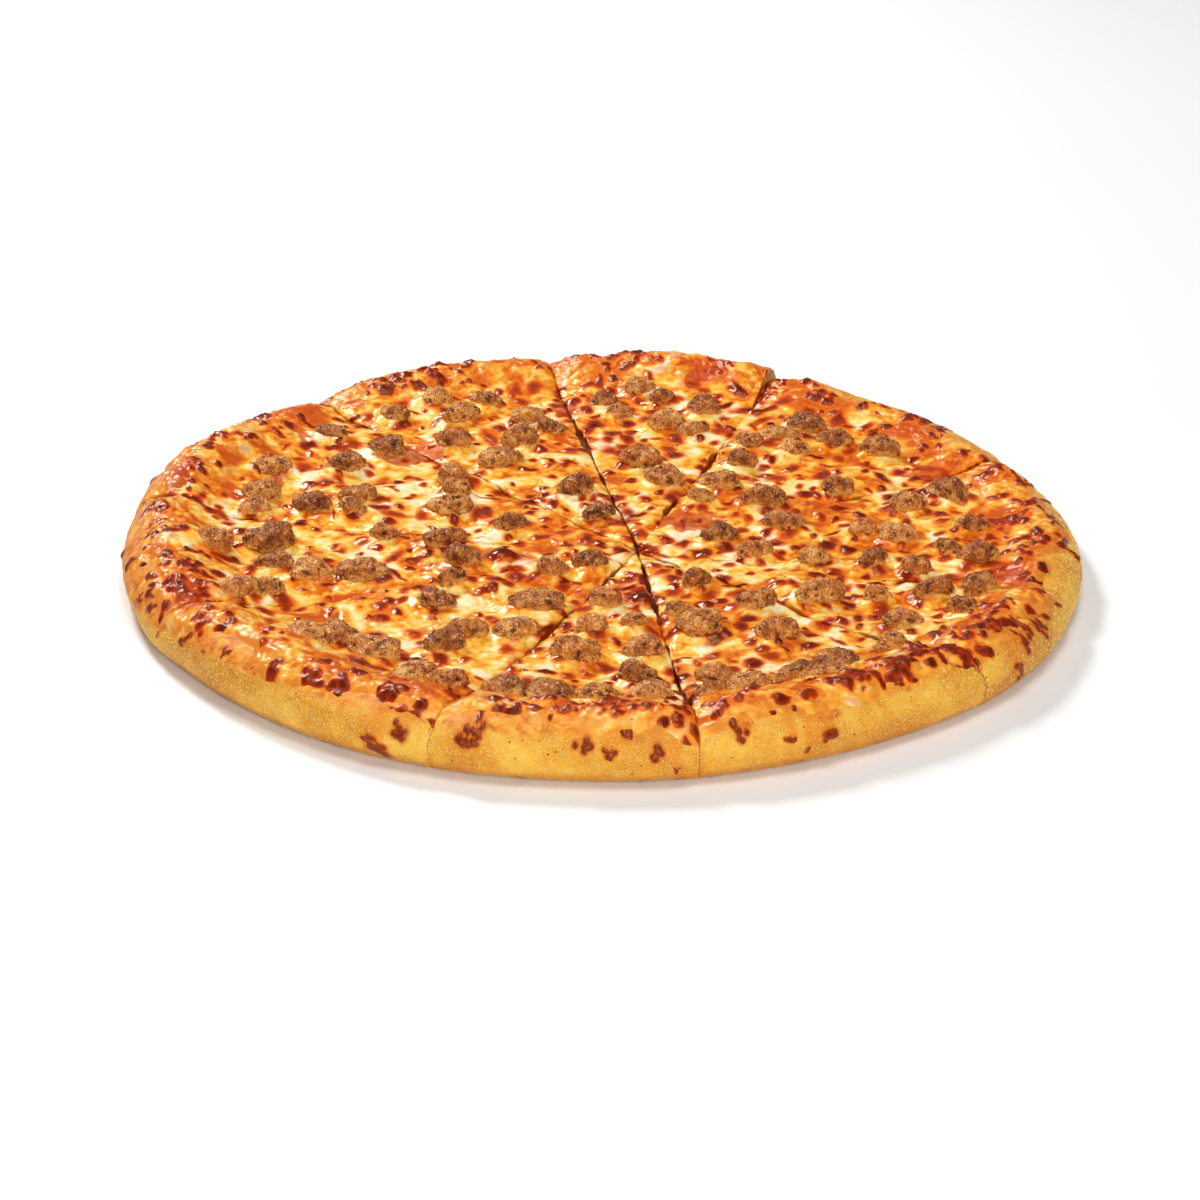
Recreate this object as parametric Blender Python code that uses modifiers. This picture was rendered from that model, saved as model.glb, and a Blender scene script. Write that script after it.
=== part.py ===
"""A large pizza in ten slices: risen dough, melted cheese over it and pieces of crumbled sausage.

Metres, +Z up. The origin is on the table, under the middle of the pizza. Angles are in degrees,
anticlockwise from +X as seen from above. The slices meet at CUT_CENTRE, a little off the middle.
"""

from collections import namedtuple
from math import atan2, cos, exp, pi, radians, sin, sqrt

import bmesh
import bpy
import numpy as np
from mathutils import Vector, noise

COLUMNS = 60
CUT_CENTRE = Vector((0.014, -0.015))
BED_HEIGHT = 0.014
RIM_HEIGHT = 0.0235
RIM_RADIUS = 0.188
RIM_FOOT = 0.145
RIM_SHOULDER = 0.178
OUTER_RADIUS = 0.2035
CLEARANCE = 0.00035
WEDGE_REACH = 0.4
WEDGE_BOTTOM = -0.01
WEDGE_HEIGHT = 0.06
MERGE_DISTANCE = 0.00005
FLAT_ANGLE = radians(1.2)
CHEESE_FLAT_ANGLE = radians(0.6)
SHARP_ANGLE = radians(45)

# Half sections as (radius, height): over the top, down the outer side and back to the axis
DOUGH_SECTION = (
    (0.0, 0.009), (0.075, 0.009), (0.140, 0.0092), (0.162, 0.0108), (0.172, 0.0155),
    (0.180, 0.0202), (RIM_RADIUS, RIM_HEIGHT), (0.1955, 0.0218), (0.201, 0.0175),
    (OUTER_RADIUS, 0.012), (0.2025, 0.005), (0.198, 0.0), (0.0, 0.0),
)
CHEESE_SECTION = (
    (0.0, BED_HEIGHT), (0.060, BED_HEIGHT), (0.110, BED_HEIGHT), (0.145, 0.0143),
    (0.160, 0.0160), (0.169, 0.0192), (0.177, 0.0234), (0.185, 0.0254), (0.1905, 0.0248),
    (0.1945, 0.022), (0.1945, 0.012), (0.150, 0.005), (0.0, 0.005),
)

# Each slice runs anticlockwise from its start cut to the next slice's. The gap is half a cut's width,
# the push moves the slice outwards, and the rims are the dough's crest at its start, middle and end.
Slice = namedtuple("Slice", "start gap push rims")
SLICES = (
    Slice(-157.5, 0.0004, 0.0, (0.0235, 0.0240, 0.0235)),
    Slice(-114.2, 0.0009, 0.0005, (0.0235, 0.0240, 0.0235)),
    Slice(-82.8, 0.0009, 0.0, (0.0235, 0.0240, 0.0240)),
    Slice(-41.0, 0.0008, 0.0005, (0.0240, 0.0235, 0.0215)),
    Slice(-14.0, 0.0006, 0.0, (0.0198, 0.0182, 0.0170)),
    Slice(31.5, 0.0005, 0.0, (0.0182, 0.0190, 0.0195)),
    Slice(71.5, 0.0009, 0.0020, (0.0250, 0.0220, 0.0188)),
    Slice(101.7, 0.0009, 0.0, (0.0212, 0.0214, 0.0182)),
    Slice(133.0, 0.0005, 0.0005, (0.0172, 0.0230, 0.0272)),
    Slice(172.0, 0.0004, 0.0, (0.0262, 0.0252, 0.0240)),
)
# How far the rim sinks beside a cut, and over what length
DIP = 0.0025
DIP_WIDTH = 0.008

# Unevenness round the pizza as (waves in a full turn, size, phase)
OUTLINE_WAVES = ((1, 0.0012, -1.9), (2, 0.0007, 0.4), (3, 0.0007, 2.1), (5, 0.0006, 4.0), (9, 0.0005, 1.2))
CREST_WAVES = ((5, 0.0006, 1.0), (11, 0.0006, 3.3), (19, 0.0004, 0.3))
EDGE_WAVES = ((5, 0.0014, 1.1), (11, 0.0015, 0.5), (17, 0.0012, 2.2))
# Unevenness of the bed as (waves in a metre along x, along y, size, phase)
BED_WAVES = ((9, 4, 0.0005, 0.3), (-6, 11, 0.0005, 1.9), (17, 13, 0.0003, 4.1), (14, -19, 0.0003, 0.8))

# The four most prominent pieces of sausage on each slice, as (way out from the cut centre,
# share of the slice's angle, length)
SAUSAGES = (
    ((0.071, 0.79, 0.023), (0.150, 0.53, 0.021), (0.126, 0.69, 0.020), (0.153, 0.36, 0.019)),
    ((0.107, 0.35, 0.018), (0.145, 0.83, 0.019), (0.161, 0.37, 0.022), (0.100, 0.82, 0.018)),
    ((0.083, 0.25, 0.020), (0.153, 0.60, 0.020), (0.102, 0.63, 0.017), (0.130, 0.15, 0.017)),
    ((0.087, 0.30, 0.021), (0.130, 0.80, 0.020), (0.129, 0.27, 0.017), (0.154, 0.86, 0.015)),
    ((0.150, 0.84, 0.021), (0.068, 0.82, 0.019), (0.112, 0.46, 0.019), (0.144, 0.22, 0.016)),
    ((0.074, 0.27, 0.019), (0.078, 0.78, 0.019), (0.156, 0.71, 0.018), (0.154, 0.33, 0.017)),
    ((0.091, 0.58, 0.018), (0.136, 0.43, 0.017), (0.155, 0.23, 0.016), (0.072, 0.27, 0.018)),
    ((0.109, 0.71, 0.020), (0.065, 0.42, 0.018), (0.125, 0.42, 0.016), (0.162, 0.58, 0.017)),
    ((0.089, 0.55, 0.020), (0.144, 0.84, 0.019), (0.169, 0.80, 0.018), (0.150, 0.12, 0.018)),
    ((0.156, 0.27, 0.023), (0.118, 0.77, 0.022), (0.140, 0.70, 0.018), (0.082, 0.27, 0.017)),
)
# The smaller pieces of each slice, which melt into its cheese, in the same way
CRUMBLES = (
    ((0.026, 0.42, 0.015), (0.098, 0.91, 0.018), (0.111, 0.68, 0.017), (0.101, 0.29, 0.017),
     (0.174, 0.36, 0.019), (0.042, 0.18, 0.013), (0.086, 0.10, 0.011), (0.172, 0.80, 0.017), (0.168, 0.92, 0.016)),
    ((0.169, 0.17, 0.019), (0.167, 0.59, 0.016), (0.054, 0.27, 0.014), (0.122, 0.76, 0.016),
     (0.083, 0.36, 0.014), (0.074, 0.73, 0.012)),
    ((0.166, 0.44, 0.019), (0.163, 0.23, 0.018), (0.074, 0.82, 0.017), (0.043, 0.66, 0.014),
     (0.147, 0.88, 0.014), (0.068, 0.17, 0.012), (0.166, 0.07, 0.013)),
    ((0.147, 0.55, 0.013), (0.108, 0.58, 0.012)),
    ((0.037, 0.72, 0.016), (0.126, 0.78, 0.016), (0.050, 0.22, 0.014), (0.145, 0.50, 0.015),
     (0.075, 0.15, 0.014), (0.131, 0.29, 0.014), (0.100, 0.14, 0.013), (0.098, 0.57, 0.012), (0.118, 0.08, 0.012)),
    ((0.149, 0.54, 0.017), (0.137, 0.77, 0.016), (0.125, 0.86, 0.014), (0.106, 0.80, 0.014),
     (0.128, 0.61, 0.014), (0.059, 0.76, 0.013), (0.109, 0.10, 0.013)),
    ((0.159, 0.80, 0.014), (0.174, 0.60, 0.014), (0.129, 0.23, 0.014), (0.165, 0.48, 0.013), (0.146, 0.72, 0.012)),
    ((0.036, 0.55, 0.015), (0.148, 0.27, 0.016), (0.141, 0.78, 0.016), (0.134, 0.17, 0.014),
     (0.182, 0.60, 0.014), (0.173, 0.39, 0.014), (0.180, 0.84, 0.013)),
    ((0.153, 0.37, 0.017), (0.178, 0.57, 0.016), (0.129, 0.68, 0.016), (0.058, 0.66, 0.015),
     (0.106, 0.16, 0.014), (0.127, 0.82, 0.014), (0.180, 0.18, 0.014), (0.168, 0.93, 0.013), (0.096, 0.31, 0.013)),
    ((0.153, 0.53, 0.016), (0.176, 0.90, 0.017), (0.182, 0.40, 0.017), (0.076, 0.72, 0.016),
     (0.160, 0.89, 0.015), (0.108, 0.14, 0.013)),
)
SAUSAGE_WIDTH = (0.66, 0.84)
SAUSAGE_HEIGHT = (0.0115, 0.0140)
CRUMBLE_HEIGHT = (0.0095, 0.0120)
SAUSAGE_SINK = 0.36
# The pieces lie within this turn of the X axis
SAUSAGE_TURN = 0.6
CUT_MARGIN = 0.0010
# No piece lies further from the pizza's axis, where the rim rises
MEAT_RADIUS = 0.166
LUMP_SIZE = 0.0075
LUMP_DEPTH = 0.16
# The most that a dented lump reaches from its middle, as a share of its length
LUMP_REACH = 0.6
# How far apart in the noise the dents of one lump and the next are taken
LUMP_SHIFT = Vector((1.7, 0.9, 2.3))
SAUSAGE_FINENESS = 2
CRUMBLE_FINENESS = 1
SEED = 11

DOUGH_COLOUR = (0.72, 0.46, 0.16, 1.0)
CHEESE_COLOUR = (0.86, 0.55, 0.17, 1.0)
SAUSAGE_COLOUR = (0.20, 0.10, 0.045, 1.0)


def collection(name):
    made = bpy.data.collections.new(name)
    bpy.context.scene.collection.children.link(made)
    return made


def material(name, colour, roughness):
    made = bpy.data.materials.new(name)
    made.use_nodes = True
    shader = made.node_tree.nodes["Principled BSDF"]
    shader.inputs["Base Color"].default_value = colour
    shader.inputs["Roughness"].default_value = roughness
    shader.inputs["Metallic"].default_value = 0.0
    return made


def place(name, mesh, home):
    piece = bpy.data.objects.new(name, mesh)
    home.objects.link(piece)
    return piece


def guide(name, mesh, home):
    piece = place(name, mesh, home)
    piece.hide_render = True
    piece.display_type = "WIRE"
    return piece


def apply_modifiers(piece):
    bpy.context.view_layer.update()
    evaluated = piece.evaluated_get(bpy.context.evaluated_depsgraph_get())
    shaped = bpy.data.meshes.new_from_object(evaluated)
    piece.modifiers.clear()
    piece.data = shaped


def combine(piece, cutter, operation):
    """Applies a Boolean of the piece with another object, or with all of a collection's."""
    boolean = piece.modifiers.new("combine", "BOOLEAN")
    boolean.operation = operation
    boolean.solver = "EXACT"
    if isinstance(cutter, bpy.types.Collection):
        boolean.operand_type = "COLLECTION"
        boolean.collection = cutter
    else:
        boolean.object = cutter
    apply_modifiers(piece)


def remove(pieces):
    for piece in list(pieces):
        bpy.data.objects.remove(piece, do_unlink=True)


def triangulate(mesh, flat=None):
    """Splits a mesh into triangles, once facets within the flat angle of each other are joined."""
    cage = bmesh.new()
    cage.from_mesh(mesh)
    if flat:
        bmesh.ops.dissolve_limit(cage, angle_limit=flat, verts=cage.verts, edges=cage.edges)
    bmesh.ops.triangulate(cage, faces=cage.faces)
    cage.to_mesh(mesh)
    cage.free()


def grown(piece, name, home):
    """A copy of the piece, larger by the clearance on every side."""
    copy = guide(name, piece.data.copy(), home)
    cage = bmesh.new()
    cage.from_mesh(copy.data)
    cage.normal_update()
    shifts = [vertex.normal * min(vertex.calc_shell_factor(), 2.0) * CLEARANCE for vertex in cage.verts]
    for vertex, shift in zip(cage.verts, shifts):
        vertex.co += shift
    cage.to_mesh(copy.data)
    cage.free()
    return copy


def turned(name, section, home):
    """A half section turned about the pizza's axis."""
    mesh = bpy.data.meshes.new(name)
    points = [(radius, 0.0, height) for radius, height in section]
    mesh.from_pydata(points, [(n, n + 1) for n in range(len(points) - 1)], [])
    piece = guide(name, mesh, home)
    screw = piece.modifiers.new("turn", "SCREW")
    screw.steps = screw.render_steps = COLUMNS
    screw.use_merge_vertices = True
    screw.merge_threshold = MERGE_DISTANCE
    apply_modifiers(piece)
    return piece


def ray(angle):
    return Vector((cos(angle), sin(angle)))


def slice_angles(number):
    """The start and end of a slice, in radians, with the end above the start."""
    start = radians(SLICES[number].start)
    end = radians(SLICES[(number + 1) % len(SLICES)].start)
    return start, end if end > start else end + 2 * pi


def slice_corner(number):
    """The tip of a slice, short of the middle of each cut by half the cut's width, and the
    directions into the slice from its two cuts."""
    start, end = slice_angles(number)
    gaps = SLICES[number].gap, SLICES[(number + 1) % len(SLICES)].gap
    first, last = ray(start), ray(end)
    inward = np.array(((-first.y, first.x), (last.y, -last.x)))
    return np.array(CUT_CENTRE) + np.linalg.solve(inward, gaps), inward


def wedge(number, home):
    """A prism that holds one slice."""
    start, end = slice_angles(number)
    tip = Vector(slice_corner(number)[0])
    outline = (tip, tip + ray(start) * WEDGE_REACH, tip + ray(end) * WEDGE_REACH)
    cage = bmesh.new()
    face = cage.faces.new([cage.verts.new((point.x, point.y, WEDGE_BOTTOM)) for point in outline])
    sides = bmesh.ops.extrude_face_region(cage, geom=[face])
    top = [item for item in sides["geom"] if isinstance(item, bmesh.types.BMVert)]
    bmesh.ops.translate(cage, verts=top, vec=(0, 0, WEDGE_HEIGHT))
    bmesh.ops.recalc_face_normals(cage, faces=cage.faces)
    mesh = bpy.data.meshes.new("wedge")
    cage.to_mesh(mesh)
    cage.free()
    return guide("wedge", mesh, home)


def waves(angle, terms):
    return sum(size * sin(count * angle + phase) for count, size, phase in terms)


def bed_wave(x, y):
    return sum(size * sin(2 * pi * (along_x * x + along_y * y) + phase)
               for along_x, along_y, size, phase in BED_WAVES)


def ramp(value, low, high):
    """A smooth rise from 0 at low to 1 at high."""
    share = min(max((value - low) / (high - low), 0.0), 1.0)
    return share * share * (3 - 2 * share)


def rim_angle(cut):
    """Where a cut crosses the rim's crest, as an angle about the pizza's axis."""
    way = ray(radians(SLICES[cut % len(SLICES)].start))
    along = CUT_CENTRE.dot(way)
    reach = -along + sqrt(along * along + RIM_RADIUS ** 2 - CUT_CENTRE.length_squared)
    crossing = CUT_CENTRE + way * reach
    return atan2(crossing.y, crossing.x)


def turn_from(angle, base):
    """The turn from one angle to another, between half a turn back and half a turn on."""
    return (angle - base + pi) % (2 * pi) - pi


def rim_height(number, angle):
    """Height of a slice's crest: an arc through its three heights, with a dip beside each cut."""
    first, last = rim_angle(number), rim_angle(number + 1)
    share = turn_from(angle, first) / ((last - first) % (2 * pi))
    share = min(max(share, 0.0), 1.0)
    start, middle, end = SLICES[number].rims
    height = (1 - share) * (1 - 2 * share) * start + 4 * share * (1 - share) * middle
    height += share * (2 * share - 1) * end
    for cut in (first, last):
        height -= DIP * exp(-((turn_from(angle, cut) * RIM_RADIUS / DIP_WIDTH) ** 2))
    return height


def baked(number, x, y, z):
    """Takes a point of the evenly turned pizza to its place in the baked slice."""
    radius, angle = sqrt(x * x + y * y), atan2(y, x)
    rise = rim_height(number, angle) + waves(angle, CREST_WAVES)
    at_rim = ramp(radius, RIM_FOOT, RIM_SHOULDER)
    lift = 1 + at_rim * (rise / RIM_HEIGHT - 1) + (1 - at_rim) * bed_wave(x, y) / BED_HEIGHT
    spread = 1 + waves(angle, OUTLINE_WAVES) * radius ** 2 / OUTER_RADIUS ** 3
    return Vector((x * spread, y * spread, z * lift))


def ragged(x, y, z):
    """Moves the cheese's outer edge in and out along the rim."""
    radius, angle = sqrt(x * x + y * y), atan2(y, x)
    if radius < RIM_FOOT:
        return x, y, z
    scale = 1 + waves(angle, EDGE_WAVES) * ramp(radius, 0.165, RIM_RADIUS) / radius
    return x * scale, y * scale, z


def slice_piece(name, source, number, cutter, home, edge=None):
    """One slice of a turned solid, baked."""
    piece = place(name, source.data.copy(), home)
    combine(piece, cutter, "INTERSECT")
    triangulate(piece.data)
    for vertex in piece.data.vertices:
        point = edge(*vertex.co) if edge else vertex.co
        vertex.co = baked(number, *point)
    return piece


def surface_height(number, x, y):
    """Height of a slice's cheese at a place, from its section."""
    radius = sqrt(x * x + y * y)
    tops = CHEESE_SECTION[:10]
    level = np.interp(radius, [point[0] for point in tops], [point[1] for point in tops])
    return baked(number, x, y, level).z


def spot(number, reach, share):
    """A place on a slice, from the way out and the share of its angle."""
    start, end = slice_angles(number)
    return CUT_CENTRE + ray(start + share * (end - start)) * reach


def draw_lumps(number, rows, heights, seed):
    """Place, size and turn of each piece of meat in a slice's rows."""
    draw = np.random.RandomState(seed)
    found = []
    for reach, share, length in rows[number]:
        width = length * draw.uniform(*SAUSAGE_WIDTH)
        height = draw.uniform(*heights)
        at = spot(number, reach, share)
        at *= min(1.0, MEAT_RADIUS / at.length)
        found.append((at, Vector((length, width, height)), draw.uniform(-SAUSAGE_TURN, SAUSAGE_TURN)))
    return found


def clear_of_cuts(number, places):
    """The move in plan that takes places inside their slice, clear of its cuts."""
    tip, inward = slice_corner(number)
    moved = places.copy()
    for _ in range(4):
        for way in inward:
            depth = ((moved - tip) @ way).min()
            moved += way * max(CUT_MARGIN - depth, 0.0)
    return moved[0] - places[0]


def lump(name, number, at, size, turn, fineness, seed, home):
    """An uneven rounded piece of meat on a slice: an icosphere, stretched and dented."""
    cage = bmesh.new()
    bmesh.ops.create_icosphere(cage, subdivisions=fineness, radius=0.5)
    level = surface_height(number, at.x, at.y) + size.z * (0.5 - SAUSAGE_SINK)
    for vertex in cage.verts:
        point = Vector((vertex.co.x * size.x, vertex.co.y * size.y, vertex.co.z * size.z))
        point *= 1 + noise.noise(point / LUMP_SIZE + LUMP_SHIFT * seed) * LUMP_DEPTH * 2
        vertex.co = (at.x + point.x * cos(turn) - point.y * sin(turn),
                     at.y + point.x * sin(turn) + point.y * cos(turn), level + point.z)
    move = clear_of_cuts(number, np.array([vertex.co.xy for vertex in cage.verts]))
    bmesh.ops.translate(cage, verts=cage.verts, vec=(move[0], move[1], 0.0))
    mesh = bpy.data.meshes.new(name)
    cage.to_mesh(mesh)
    cage.free()
    return place(name, mesh, home)


def carve(piece, at, size, guards):
    """Cuts a lump clear of the nearby ones that are there already."""
    for guard, other, radius in guards:
        if (at - other).length < size.x * LUMP_REACH + radius:
            combine(piece, guard, "DIFFERENCE")


def sausage_pieces(number, cheese, under, home, workshop):
    """The large pieces of one slice, each lying on the cheese, and what keeps others clear of them."""
    bed = grown(cheese, "bed", workshop)
    pieces, guards = [], []
    rows = draw_lumps(number, SAUSAGES, SAUSAGE_HEIGHT, SEED + number)
    for count, (at, size, turn) in enumerate(rows, 1):
        piece = lump(f"sausage_{number + 1:02d}_{count}", number, at, size, turn, SAUSAGE_FINENESS,
                     SEED * number + count, home)
        guard = grown(piece, "guard", workshop)
        carve(piece, at, size, guards)
        combine(piece, bed, "DIFFERENCE")
        combine(piece, under, "DIFFERENCE")
        pieces.append(piece)
        guards.append((guard, at, size.x * LUMP_REACH))
    remove([bed])
    return pieces, guards


def add_crumbles(number, cheese, guards):
    """Fuses a slice's crumbles to its cheese, clear of the large pieces."""
    heap = collection("crumbles")
    rows = draw_lumps(number, CRUMBLES, CRUMBLE_HEIGHT, SEED * 100 + number)
    for count, (at, size, turn) in enumerate(rows):
        piece = lump("crumble", number, at, size, turn, CRUMBLE_FINENESS, SEED + 7 * count, heap)
        carve(piece, at, size, guards)
    combine(cheese, heap, "UNION")
    remove(heap.objects)
    bpy.data.collections.remove(heap)


def finish(piece, surface, holder, flat=None):
    triangulate(piece.data, flat)
    piece.data.materials.clear()
    piece.data.materials.append(surface)
    piece.data.shade_smooth()
    piece.data.set_sharp_from_angle(angle=SHARP_ANGLE)
    piece.parent = holder


def pizza():
    home = collection("pizza")
    workshop = collection("cutters")
    dough = material("baked_dough", DOUGH_COLOUR, 0.7)
    cheese = material("melted_cheese", CHEESE_COLOUR, 0.35)
    meat = material("sausage", SAUSAGE_COLOUR, 0.6)
    whole_dough = turned("whole_dough", DOUGH_SECTION, workshop)
    whole_cheese = turned("whole_cheese", CHEESE_SECTION, workshop)
    for number, row in enumerate(SLICES):
        start, end = slice_angles(number)
        out = ray((start + end) / 2) * row.push
        holder = place(f"slice_{number + 1:02d}", None, home)
        holder.location = (out.x, out.y, 0.0)
        cutter = wedge(number, workshop)
        crust = slice_piece(f"crust_{number + 1:02d}", whole_dough, number, cutter, home)
        topping = slice_piece(f"cheese_{number + 1:02d}", whole_cheese, number, cutter, home, ragged)
        triangulate(crust.data, FLAT_ANGLE)
        under = grown(crust, "under", workshop)
        pieces, guards = sausage_pieces(number, topping, under, home, workshop)
        for piece in pieces:
            finish(piece, meat, holder, FLAT_ANGLE)
        add_crumbles(number, topping, guards)
        combine(topping, under, "DIFFERENCE")
        finish(topping, cheese, holder, CHEESE_FLAT_ANGLE)
        finish(crust, dough, holder)
        remove([under, cutter] + [guard for guard, _, _ in guards])
    remove(workshop.objects)


for old in list(bpy.data.objects):
    bpy.data.objects.remove(old, do_unlink=True)
pizza()
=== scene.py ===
"""Looks of a large sausage pizza in ten slices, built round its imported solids.

Metres, +Z up. The origin is on the table, under the middle of the pizza. Angles are in degrees,
anticlockwise from +X as seen from above. The shape's values are the ones that the solids have.
"""

from collections import namedtuple
from math import cos, pi, radians, sin, sqrt

import bmesh
import bpy
import numpy as np
from mathutils import Matrix, Vector, noise


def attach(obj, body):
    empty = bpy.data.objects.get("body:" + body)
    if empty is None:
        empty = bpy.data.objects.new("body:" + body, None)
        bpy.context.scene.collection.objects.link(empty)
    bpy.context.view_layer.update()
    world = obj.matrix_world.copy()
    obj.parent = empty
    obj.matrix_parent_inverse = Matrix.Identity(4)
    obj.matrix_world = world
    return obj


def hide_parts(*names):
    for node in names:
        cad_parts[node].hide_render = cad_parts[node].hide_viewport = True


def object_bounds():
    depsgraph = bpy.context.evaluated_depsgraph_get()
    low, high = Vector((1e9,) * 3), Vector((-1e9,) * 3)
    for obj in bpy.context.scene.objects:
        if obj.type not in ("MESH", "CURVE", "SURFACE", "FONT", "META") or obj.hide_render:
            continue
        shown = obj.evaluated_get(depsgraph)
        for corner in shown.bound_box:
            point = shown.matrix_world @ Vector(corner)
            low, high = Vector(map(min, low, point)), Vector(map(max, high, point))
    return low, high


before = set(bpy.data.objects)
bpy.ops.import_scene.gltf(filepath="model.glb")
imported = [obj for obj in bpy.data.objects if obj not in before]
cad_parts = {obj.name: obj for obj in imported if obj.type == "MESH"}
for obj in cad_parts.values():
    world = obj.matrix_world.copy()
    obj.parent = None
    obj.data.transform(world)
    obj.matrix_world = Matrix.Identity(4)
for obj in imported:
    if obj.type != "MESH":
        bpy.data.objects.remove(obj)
CAD_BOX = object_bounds()

# Values of the solids
CUT_CENTRE = Vector((0.014, -0.015))
BED_HEIGHT = 0.014
RIM_HEIGHT = 0.0235
RIM_RADIUS = 0.188
RIM_FOOT = 0.145
RIM_SHOULDER = 0.178
OUTER_RADIUS = 0.2035
DOUGH_SECTION = (
    (0.0, 0.009), (0.075, 0.009), (0.140, 0.0092), (0.162, 0.0108), (0.172, 0.0155),
    (0.180, 0.0202), (RIM_RADIUS, RIM_HEIGHT), (0.1955, 0.0218), (0.201, 0.0175),
    (OUTER_RADIUS, 0.012), (0.2025, 0.005), (0.198, 0.0), (0.0, 0.0),
)
DOUGH_TOP = DOUGH_SECTION[:10]
CHEESE_TOP = (
    (0.0, BED_HEIGHT), (0.060, BED_HEIGHT), (0.110, BED_HEIGHT), (0.145, 0.0143),
    (0.160, 0.0160), (0.169, 0.0192), (0.177, 0.0234), (0.185, 0.0254), (0.1905, 0.0248),
    (0.1945, 0.022),
)
Slice = namedtuple("Slice", "start gap push rims")
SLICES = (
    Slice(-157.5, 0.0004, 0.0, (0.0235, 0.0240, 0.0235)),
    Slice(-114.2, 0.0009, 0.0005, (0.0235, 0.0240, 0.0235)),
    Slice(-82.8, 0.0009, 0.0, (0.0235, 0.0240, 0.0240)),
    Slice(-41.0, 0.0008, 0.0005, (0.0240, 0.0235, 0.0215)),
    Slice(-14.0, 0.0006, 0.0, (0.0198, 0.0182, 0.0170)),
    Slice(31.5, 0.0005, 0.0, (0.0182, 0.0190, 0.0195)),
    Slice(71.5, 0.0009, 0.0020, (0.0250, 0.0220, 0.0188)),
    Slice(101.7, 0.0009, 0.0, (0.0212, 0.0214, 0.0182)),
    Slice(133.0, 0.0005, 0.0005, (0.0172, 0.0230, 0.0272)),
    Slice(172.0, 0.0004, 0.0, (0.0262, 0.0252, 0.0240)),
)
DIP = 0.0025
DIP_WIDTH = 0.008
OUTLINE_WAVES = ((1, 0.0012, -1.9), (2, 0.0007, 0.4), (3, 0.0007, 2.1), (5, 0.0006, 4.0), (9, 0.0005, 1.2))
CREST_WAVES = ((5, 0.0006, 1.0), (11, 0.0006, 3.3), (19, 0.0004, 0.3))
EDGE_WAVES = ((5, 0.0014, 1.1), (11, 0.0015, 0.5), (17, 0.0012, 2.2))
BED_WAVES = ((9, 4, 0.0005, 0.3), (-6, 11, 0.0005, 1.9), (17, 13, 0.0003, 4.1), (14, -19, 0.0003, 0.8))
# The four most prominent pieces of sausage on each slice, as (way out from the cut centre,
# share of the slice's angle, length)
SAUSAGES = (
    ((0.071, 0.79, 0.023), (0.150, 0.53, 0.021), (0.126, 0.69, 0.020), (0.153, 0.36, 0.019)),
    ((0.107, 0.35, 0.018), (0.145, 0.83, 0.019), (0.161, 0.37, 0.022), (0.100, 0.82, 0.018)),
    ((0.083, 0.25, 0.020), (0.153, 0.60, 0.020), (0.102, 0.63, 0.017), (0.130, 0.15, 0.017)),
    ((0.087, 0.30, 0.021), (0.130, 0.80, 0.020), (0.129, 0.27, 0.017), (0.154, 0.86, 0.015)),
    ((0.150, 0.84, 0.021), (0.068, 0.82, 0.019), (0.112, 0.46, 0.019), (0.144, 0.22, 0.016)),
    ((0.074, 0.27, 0.019), (0.078, 0.78, 0.019), (0.156, 0.71, 0.018), (0.154, 0.33, 0.017)),
    ((0.091, 0.58, 0.018), (0.136, 0.43, 0.017), (0.155, 0.23, 0.016), (0.072, 0.27, 0.018)),
    ((0.109, 0.71, 0.020), (0.065, 0.42, 0.018), (0.125, 0.42, 0.016), (0.162, 0.58, 0.017)),
    ((0.089, 0.55, 0.020), (0.144, 0.84, 0.019), (0.169, 0.80, 0.018), (0.150, 0.12, 0.018)),
    ((0.156, 0.27, 0.023), (0.118, 0.77, 0.022), (0.140, 0.70, 0.018), (0.082, 0.27, 0.017)),
)
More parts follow.
